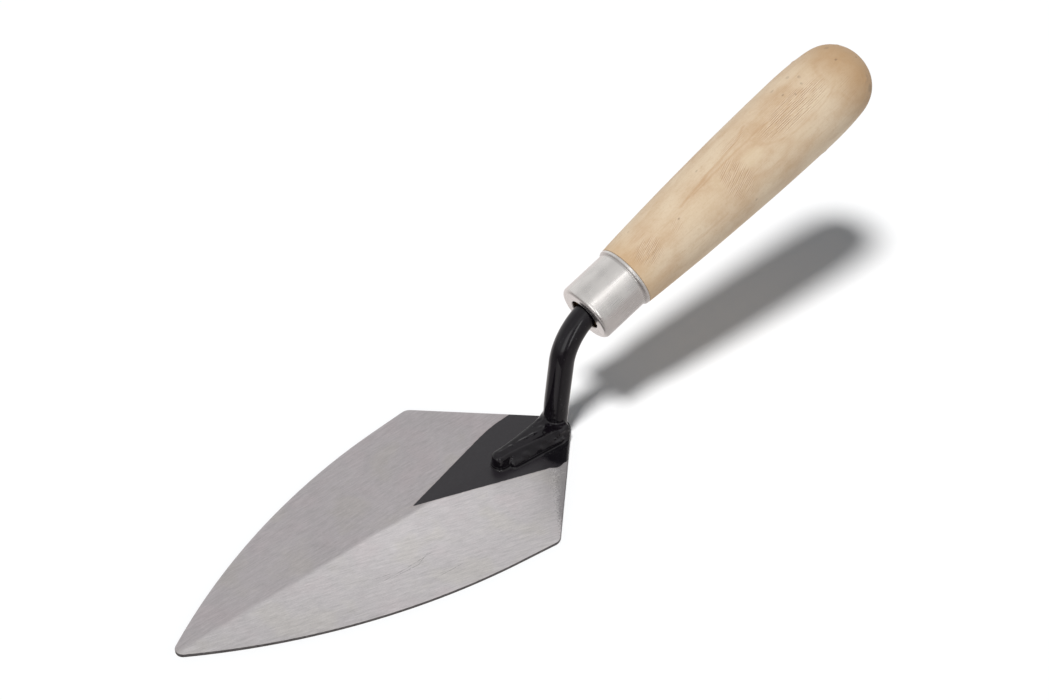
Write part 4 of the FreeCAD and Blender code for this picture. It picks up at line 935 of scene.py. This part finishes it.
# ------------------------------------------------------------------ handle
def handle_profile():
    # turned outline from the rim to the butt, then the spigot and the tang's bore
    a = np.array([0.0, 2, 8, 16, 24, 32, 40, 48, 56, 64, 72, 76, 80, 85, 88, 90, 91.5])
    r = np.array([10.1, 10.28, 10.70, 11.22, 11.68, 12.04, 12.38, 12.72, 12.98, 13.18, 13.31, 13.35, 13.28, 12.98, 12.66, 12.38, 12.10])
    # the dome, an arc fan from the CAD: tail arc, corner arc, cap
    fine = [(float(q), float(v)) for q, v in zip(np.linspace(0, 91.5, 400), np.interp(np.linspace(0, 91.5, 400), a, r))]
    TX, TR, TLR, HL, DMR = 90.0, 12.4, 88.0, 99.85, 15.5
    BX, BR = 76.0, 13.36
    mx, my = (BX + TX) / 2, (BR + TR) / 2
    dx, dy = TX - BX, TR - BR
    hl = math.hypot(dx, dy) / 2
    k = math.sqrt(TLR ** 2 - hl * hl) / (2 * hl)
    cb = (mx + dy * k, my - dx * k)
    nrm = ((cb[0] - TX) / TLR, (cb[1] - TR) / TLR)
    cap = HL - DMR
    ex, ey = TX - cap, TR
    rc = (DMR ** 2 - ex * ex - ey * ey) / (2 * (DMR + ex * nrm[0] + ey * nrm[1]))
    cc = (TX + nrm[0] * rc, TR + nrm[1] * rc)
    u = math.hypot(cc[0] - cap, cc[1])
    a0 = math.atan2(TR - cc[1], TX - cc[0])
    a1 = math.atan2(cc[1], cc[0] - cap)
    pts = [p for p in fine if p[0] <= 89.0]
    pts += [(cc[0] + rc * math.cos(t), cc[1] + rc * math.sin(t)) for t in np.linspace(a0, a1, 40)]
    pts += [(cap + DMR * math.cos(t), DMR * math.sin(t)) for t in np.linspace(a1, 0.0, 60)[1:]]
    # even spacing, then a light smoothing along the curve
    p = np.array(pts)
    s = np.concatenate([[0], np.cumsum(np.hypot(*np.diff(p, axis=0).T))])
    m = int(s[-1] / 0.34)
    q = np.linspace(0, s[-1], m)
    px, pr = np.interp(q, s, p[:, 0]), np.interp(q, s, p[:, 1])
    ext_x = np.concatenate([2 * px[0] - px[20:0:-1], px, px[-2:-22:-1]])
    ext_r = np.concatenate([2 * pr[0] - pr[20:0:-1], pr, -pr[-2:-22:-1]])
    w = np.exp(-0.5 * (np.arange(-12, 13) / 5.0) ** 2)
    w /= w.sum()
    sx, sr = np.convolve(ext_x, w, "same")[20:-20], np.convolve(ext_r, w, "same")[20:-20]
    sx[-1], sr[-1] = HL, 0.0
    outer = list(zip(sx.tolist(), np.maximum(sr, 0).tolist()))
    outer[-1] = (HL, 0.0)
    return outer


outer = handle_profile()
BORE = [(-16.45 + 0.7 + 3.2, 4.4), (-16.45 + 0.7 + 3.2, 3.75)]
spig = -16.45 + 0.7
prof = [(52.5, 0.0), (52.5, 1.95), (46.0, 1.95), (8.0, 3.75), (spig + 3.2, 3.75), (spig + 3.2, 4.4), (spig + 0.3, 4.4), (spig, 4.7),
        (spig, 8.2), (spig + 0.3, 8.46), (-1.6, 8.46), (-0.95, 9.05), (-0.12, 9.15), (-0.05, 9.75)]
prof = spread(prof, 1.5) + [(0.02, 9.98)] + [(max(a, 0.06), r) for a, r in outer]


def wood_relief(a, ang, r):
    on = np.clip((a - 1.0) / 4.0, 0, 1) * np.clip((99.0 - a) / 3.0, 0, 1)
    ca, sa = np.cos(ang) * r, np.sin(ang) * r
    d = 0.06 * noise3(a / 22.0, ca / 9.0, sa / 9.0, 21)
    d = d + 0.020 * noise3(a / 7.0, ca / 1.4, sa / 1.4, 22)
    d = d + 0.010 * noise3(a / 4.0, ca / 0.6, sa / 0.6, 23)
    for (pa, pt, pr, depth) in PITS:
        dd = ((a - pa) / (pr * 1.8)) ** 2 + ((np.angle(np.exp(1j * (ang - pt)))) * r / pr) ** 2
        d = d - depth * np.exp(-dd)
    return d * on


PITS = [(88.0, -2.2, 0.5, 0.20), (90.5, -1.2, 0.45, 0.18), (84.0, -2.5, 0.4, 0.15), (93.0, -0.4, 0.5, 0.2),
        (60.0, -1.9, 0.4, 0.16), (45.0, -1.1, 0.35, 0.12), (20.0, 0.9, 0.4, 0.12), (72.0, 0.6, 0.5, 0.15),
        (30.0, 2.4, 0.45, 0.15), (80.0, 2.9, 0.5, 0.18), (12.0, -2.9, 0.35, 0.12), (96.0, -1.9, 0.4, 0.15)]
SIDE = -1.0
handle = lathe("turned_handle", prof, 224, relief=wood_relief)

# ------------------------------------------------------------------ ferrule
def ferrule_profile():
    R, RR, W, L, MR = 9.36, 10.05, 0.85, 17.3, 5.1
    p = []
    # rear face of the lip, outer lip, hollow behind it, body
    p += [(0.0, RR - W + 0.15), (0.0, RR - 0.30)]
    p += arc_points(-0.28, RR - 0.28, 0.28, 0, 90, 8)
    p += arc_points(-0.66, RR - 0.30, 0.30, 95, 170, 8)
    p += arc_points(-1.62, R + 0.62, 0.62, -10, -90, 9)
    p += [(-2.4, R)]
    p += [(-L + 1.5, R)]
    p += arc_points(-L + 1.45, R - 1.45, 1.45, 90, 180, 14)
    # face, slightly dished, rolled into the mouth
    p += [(-L + 0.04, 7.2), (-L + 0.10, 6.4), (-L + 0.10, MR + 0.55)]
    p += arc_points(-L + 0.42, MR + 0.36, 0.36, 178, 270, 9)
    p += [(-L + W, MR + 0.02), (-L + W, R - 1.5)]
    p += arc_points(-L + 1.5, R - 1.5, 1.5 - W, 180, 90, 6)
    p += [(-1.7, R - W), (-1.0, RR - W), (-0.15, RR - W)]
    return spread(p, 0.6)


SIDE = 1.0


ferrule = lathe("pressed_ferrule", ferrule_profile(), 256, relief=None, closed=True)

# ------------------------------------------------------------------ shank and weld
step = 0.22
sv, sq = polygonise(shank_sdf, (-104.0, -6.6, 0.9), (-2.6, 7.8, 65.2), step)
shank = mesh_object("painted_shank", sv, sq)
outward(shank)
true_normals(shank, shank_sdf)
bv, bq = polygonise(bead_sdf, (-34.6, -7.4, 0.2), (-1.8, 9.2, 3.2), step * 0.6, coarse=3, relax=3)
bead = mesh_object("foot_weld_bead", bv, bq)
outward(bead)

# ------------------------------------------------------------------ blade
def blade_outline():
    pts = []
    c = (-HEEL + 6 * math.sqrt(2), 0.0)
    pts += arc_points(c[0], c[1], 6.0, 180, 135, 15)
    S = np.array([0.0, HALF])
    d1 = np.array([-1.0, -1.0]) / math.sqrt(2)
    e = np.array([13.68, 34.30])
    d2 = (e - S) / np.linalg.norm(e - S)
    ang = math.acos(float(d1 @ d2))
    tl = 3.2 / math.tan(ang / 2)
    bis = (d1 + d2) / np.linalg.norm(d1 + d2)
    cc = S + bis * (3.2 / math.sin(ang / 2))
    t1, t2 = S + d1 * tl, S + d2 * tl
    a1 = math.degrees(math.atan2(t1[1] - cc[1], t1[0] - cc[0]))
    a2 = math.degrees(math.atan2(t2[1] - cc[1], t2[0] - cc[0]))
    pts += spread([pts[-1], tuple(t1)], 0.45)[1:-1]
    pts += arc_points(cc[0], cc[1], 3.2, a1, a2, 12)
    pts += spread([pts[-1], tuple(e)], 0.45)[1:]
    bc, R = (-7.996, -169.607), 205.06
    b1 = math.degrees(math.atan2(e[1] - bc[1], e[0] - bc[0]))
    tipc = math.sqrt((R - 2.4) ** 2 - bc[1] ** 2) + bc[0]
    b2 = math.degrees(math.atan2(-bc[1], tipc - bc[0]))
    pts += arc_points(bc[0], bc[1], R, b1, b2, 230)[1:]
    pts += arc_points(tipc, 0.0, 2.4, b2, 0, 12)[1:]
    pts = np.array(pts)
    return pts * [0.9998, 0.9997]


def build_blade():
    o = blade_outline()
    n = len(o)
    full = np.concatenate([o, (o * [1, -1])[-2:0:-1]])      # clockwise seen from above, heel first
    prev, nxt = np.roll(full, 1, 0), np.roll(full, -1, 0)
    t = nxt - prev
    t /= np.linalg.norm(t, axis=1)[:, None]
    inward = np.column_stack([t[:, 1], -t[:, 0]])            # right of travel
    if inward[0, 0] < 0:
        inward = -inward

    def top_z(p):
        z = blade_top(p[:, 0], p[:, 1])
        return z + 0.006 * noise3(p[:, 0] / 17.0, p[:, 1] / 9.0, 0 * z, 41)
    verts, faces = [], []
    total = 0

    def add(p, z):
        nonlocal total
        verts.append(np.column_stack([p, z]))
        total += len(p)
        return total - len(p)
    b = 0.16
    # loops from the top's rim over the rounded edge, down the side and under
    rings = []
    for k in range(5):
        q = math.radians(90 * k / 4)
        p = full + inward * (b * (1 - math.sin(q)))
        z = top_z(full + inward * b) - b * (1 - math.cos(q))
        rings.append(add(p, z))
    nick = 0.02 * noise3(full[:, 0] / 0.9, full[:, 1] / 0.9, 0 * full[:, 0], 43)
    low = 0.10
    zt = top_z(full + inward * b) - b
    rings.append(add(full + inward * (0.012 + nick[:, None] * 0.5).clip(0), (zt + low) / 2))
    for k in range(4):
        q = math.radians(90 * k / 3)
        p = full + inward * (low * (1 - math.cos(q)))
        rings.append(add(p, np.full(len(full), low * (1 - math.sin(q)))))
    m = len(full)
    idx = np.arange(m)
    nx = (idx + 1) % m
    for r0, r1 in zip(rings[:-1], rings[1:]):
        faces += [[r0 + int(i), r1 + int(i), r1 + int(j), r0 + int(j)] for i, j in zip(idx, nx)]
    # caps: rows between mirrored rim points

    def cap(ring, pts, zf, cols, up):
        grid = []
        for i in range(n):
            a = ring + i
            if i in (0, n - 1):
                grid.append([a])
                continue
            bb = ring + (m - i)
            y0 = pts[i, 1]
            half = np.array([math.copysign(abs(f) ** 1.5, f) for f in np.linspace(1, -1, cols + 1)[1:-1]])
            ys = y0 * half
            xs = np.full(len(ys), pts[i, 0])
            p = np.column_stack([xs, ys])
            s = add(p, zf(p))
            grid.append([a] + list(range(s, s + len(ys))) + [bb])
        for i in range(n - 1):
            g0, g1 = grid[i], grid[i + 1]
            if len(g0) == 1:
                for c in range(len(g1) - 1):
                    faces.append([g0[0], g1[c], g1[c + 1]] if up else [g0[0], g1[c + 1], g1[c]])
            elif len(g1) == 1:
                for c in range(len(g0) - 1):
                    faces.append([g0[c], g1[0], g0[c + 1]] if up else [g0[c + 1], g1[0], g0[c]])
            else:
                for c in range(len(g0) - 1):
                    q = [g0[c], g1[c], g1[c + 1], g0[c + 1]]
                    faces.append(q if up else q[::-1])
    cap(rings[0], full + inward * b, top_z, 64, True)
    cap(rings[-1], full + inward * low, lambda p: np.zeros(len(p)), 16, False)
    ob = mesh_object("ground_blade", np.concatenate(verts), faces)
    # consistent winding, whatever side each part started on
    import bmesh
    bm = bmesh.new()
    bm.from_mesh(ob.data)
    bmesh.ops.recalc_face_normals(bm, faces=bm.faces)
    bm.to_mesh(ob.data)
    bm.free()
    outward(ob)
    return ob


blade = build_blade()

# ------------------------------------------------------------------ riding, replacing, materials
for piece, nodes, slot, mat in (
        (blade, ("blade",), "ground_steel", steel_material()),
        (shank, ("shank",), "black_paint", enamel_material("black_paint")),
        (bead, ("foot_weld",), "weld_paint", enamel_material("weld_paint")),
        (ferrule, ("ferrule",), "plated_steel", nickel_material()),
        (handle, ("handle",), "pale_wood", wood_material())):
    piece.data.materials.append(mat)
    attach(piece, "root")
    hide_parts(*nodes)

# ------------------------------------------------------------------ floor, light, camera
fm = bpy.data.meshes.new("floor")
s = 6.0
fm.from_pydata([(-s, -s, -0.00003), (s, -s, -0.00003), (s, s, -0.00003), (-s, s, -0.00003)], [], [(0, 1, 2, 3)])
floor = bpy.data.objects.new("floor", fm)
bpy.context.scene.collection.objects.link(floor)
fmat = bpy.data.materials.new("floor_white")
fmat.use_nodes = True
fb = fmat.node_tree.nodes["Principled BSDF"]
fb.inputs["Base Color"].default_value = (0.92, 0.92, 0.92, 1)
fb.inputs["Roughness"].default_value = 0.9
fb.inputs["Specular IOR Level"].default_value = 0.0
fm.materials.append(fmat)
floor.visible_glossy = False

scene = bpy.context.scene
KEY, FILL_SIDE, FILL_TOP = 3.08, 0.55, 0.085
world = bpy.data.worlds.new("studio")
scene.world = world
world.use_nodes = True
wt = world.node_tree
wt.nodes.clear()
wout = wt.nodes.new("ShaderNodeOutputWorld")
bg = wt.nodes.new("ShaderNodeBackground")
wt.links.new(bg.outputs[0], wout.inputs[0])
world.cycles.sampling_method = "NONE"


def wmath(op, a, b=None, c=None):
    n = wt.nodes.new("ShaderNodeMath")
    n.operation = op
    for i, v in enumerate((a, b, c)):
        if isinstance(v, bpy.types.NodeSocket):
            wt.links.new(v, n.inputs[i])
        elif v is not None:
            n.inputs[i].default_value = v
    return n.outputs[0]


def ramp(v, lo, hi, a, b):
    n = wt.nodes.new("ShaderNodeMapRange")
    n.interpolation_type = "SMOOTHSTEP"
    wt.links.new(v, n.inputs["Value"])
    for k, x in (("From Min", lo), ("From Max", hi), ("To Min", a), ("To Max", b)):
        n.inputs[k].default_value = x
    return n.outputs[0]


def towards(d):
    n = wt.nodes.new("ShaderNodeVectorMath")
    n.operation = "DOT_PRODUCT"
    wt.links.new(wtc.outputs["Generated"], n.inputs[0])
    n.inputs[1].default_value = d
    return n.outputs["Value"]


wtc = wt.nodes.new("ShaderNodeTexCoord")
up = towards((0, 0, 1))
# what polished surfaces see: a pale room, a long soft box high on the near side, two windows
# either side of a dark gap low in front, and a dim warm-grey bench below
side = towards((0.0, 1.0, 0.0))
cr = wt.nodes.new("ShaderNodeValToRGB")
cr.color_ramp.interpolation = "B_SPLINE"
STOPS = [(-1.0, 0.90), (-0.84, 0.95), (-0.70, 0.82), (-0.57, 0.66), (-0.40, 0.73), (-0.20, 0.80), (0.02, 0.78),
         (0.22, 0.80), (0.34, 0.98), (0.43, 1.30), (0.52, 1.24), (0.64, 1.08), (0.75, 0.92), (0.85, 0.74),
         (0.93, 0.68), (1.0, 0.60)]
el = cr.color_ramp.elements
while len(el) > 1:
    el.remove(el[0])
el[0].position = (STOPS[0][0] + 1) / 2
el[0].color = (STOPS[0][1] / 2,) * 3 + (1.0,)
for pos, val in STOPS[1:]:
    e_ = el.new((pos + 1) / 2)
    e_.color = (val / 2,) * 3 + (1.0,)
wt.links.new(wmath("MULTIPLY_ADD", side, 0.5, 0.5), cr.inputs[0])
room = wmath("MULTIPLY", cr.outputs[0], 2.0)
front = towards((0.70, 0.714, 0.0))
cross = towards((-0.714, 0.70, 0.0))
low = wmath("MULTIPLY", ramp(front, 0.68, 0.82, 0.0, 1.0), ramp(up, 0.50, 0.62, 1.0, 0.0))
win_b = wmath("MULTIPLY", ramp(cross, 0.13, 0.18, 0.0, 1.0), ramp(cross, 0.28, 0.34, 2.6, 0.0))
win_a = wmath("MULTIPLY", ramp(cross, -0.66, -0.50, 0.0, 1.0), ramp(cross, -0.24, -0.16, 1.0, 0.0))
gap = wmath("MULTIPLY", ramp(cross, -0.20, -0.12, 0.0, 1.0), ramp(cross, 0.08, 0.15, -0.5, 0.0))
win = wmath("MULTIPLY", wmath("ADD", wmath("ADD", win_a, win_b), gap), low)
spark = ramp(towards((0.08, 0.45, 0.889)), 0.9955, 0.9985, 0.0, 2.2)
above = wmath("ADD", wmath("ADD", room, win), spark)
bench = wmath("MULTIPLY", ramp(side, -0.55, 0.05, 0.90, 0.55), ramp(towards((1.0, 0.0, 0.0)), 0.15, 0.65, 1.0, 0.45))
seen = wmath("ADD", wmath("MULTIPLY", above, ramp(up, -0.16, 0.06, 0.0, 1.0)),
             wmath("MULTIPLY", bench, ramp(up, -0.16, 0.06, 1.0, 0.0)))
# what matt surfaces gather: weak from above, stronger from the sides
fill = ramp(up, 0.28, 0.62, FILL_SIDE, FILL_TOP)
path = wt.nodes.new("ShaderNodeLightPath")
mixn = wt.nodes.new("ShaderNodeMix")
mixn.data_type = "FLOAT"
wt.links.new(path.outputs["Is Diffuse Ray"], mixn.inputs[0])
wt.links.new(seen, mixn.inputs[2])
wt.links.new(fill, mixn.inputs[3])
wt.links.new(mixn.outputs[0], bg.inputs["Strength"])
warm = wt.nodes.new("ShaderNodeMix")
warm.data_type = "RGBA"
wt.links.new(wmath("MULTIPLY", ramp(up, -0.16, 0.06, 1.0, 0.0), wmath("SUBTRACT", 1.0, path.outputs["Is Diffuse Ray"])),
             warm.inputs[0])
tone_d = wt.nodes.new("ShaderNodeMix")          # the fill is a touch cool
tone_d.data_type = "RGBA"
wt.links.new(path.outputs["Is Diffuse Ray"], tone_d.inputs[0])
tone_d.inputs[6].default_value = (1.0, 1.0, 1.0, 1)
tone_d.inputs[7].default_value = (0.95, 1.0, 1.06, 1)
wt.links.new(tone_d.outputs[2], warm.inputs[6])
warm.inputs[7].default_value = (1.03, 0.975, 0.965, 1)
wt.links.new(warm.outputs[2], bg.inputs["Color"])


sun = bpy.data.lights.new("key", "SUN")
sun.energy = KEY
sun.angle = math.radians(11.5)
sob = bpy.data.objects.new("key", sun)
scene.collection.objects.link(sob)
sob.visible_glossy = False
sob.rotation_mode = "QUATERNION"
sob.rotation_quaternion = (-Vector((0.31, 0.115, 0.944))).to_track_quat("-Z", "Y")

cam = bpy.data.cameras.new("camera")
cam.sensor_fit = "HORIZONTAL"
cam.sensor_width = 36.0
cam.lens = 2000.0 / 1049.0 * 36.0
cam.clip_start, cam.clip_end = 0.01, 50.0
cob = bpy.data.objects.new("camera", cam)
scene.collection.objects.link(cob)
rot = Matrix(((-0.7627851260, -0.4273576298, 0.4853084665),
              (0.6466511702, -0.5028808959, 0.5735443039),
              (-0.0010561779, 0.7513163520, 0.6599413790)))
cob.matrix_world = Matrix.Translation(Vector((0.259515, 0.326882, 0.415354))) @ rot.to_4x4()
scene.camera = cob
scene.view_settings.view_transform = "Standard"
scene.view_settings.look = "None"
scene.view_settings.exposure = 0.0
scene.view_settings.gamma = 1.0

bpy.context.view_layer.update()
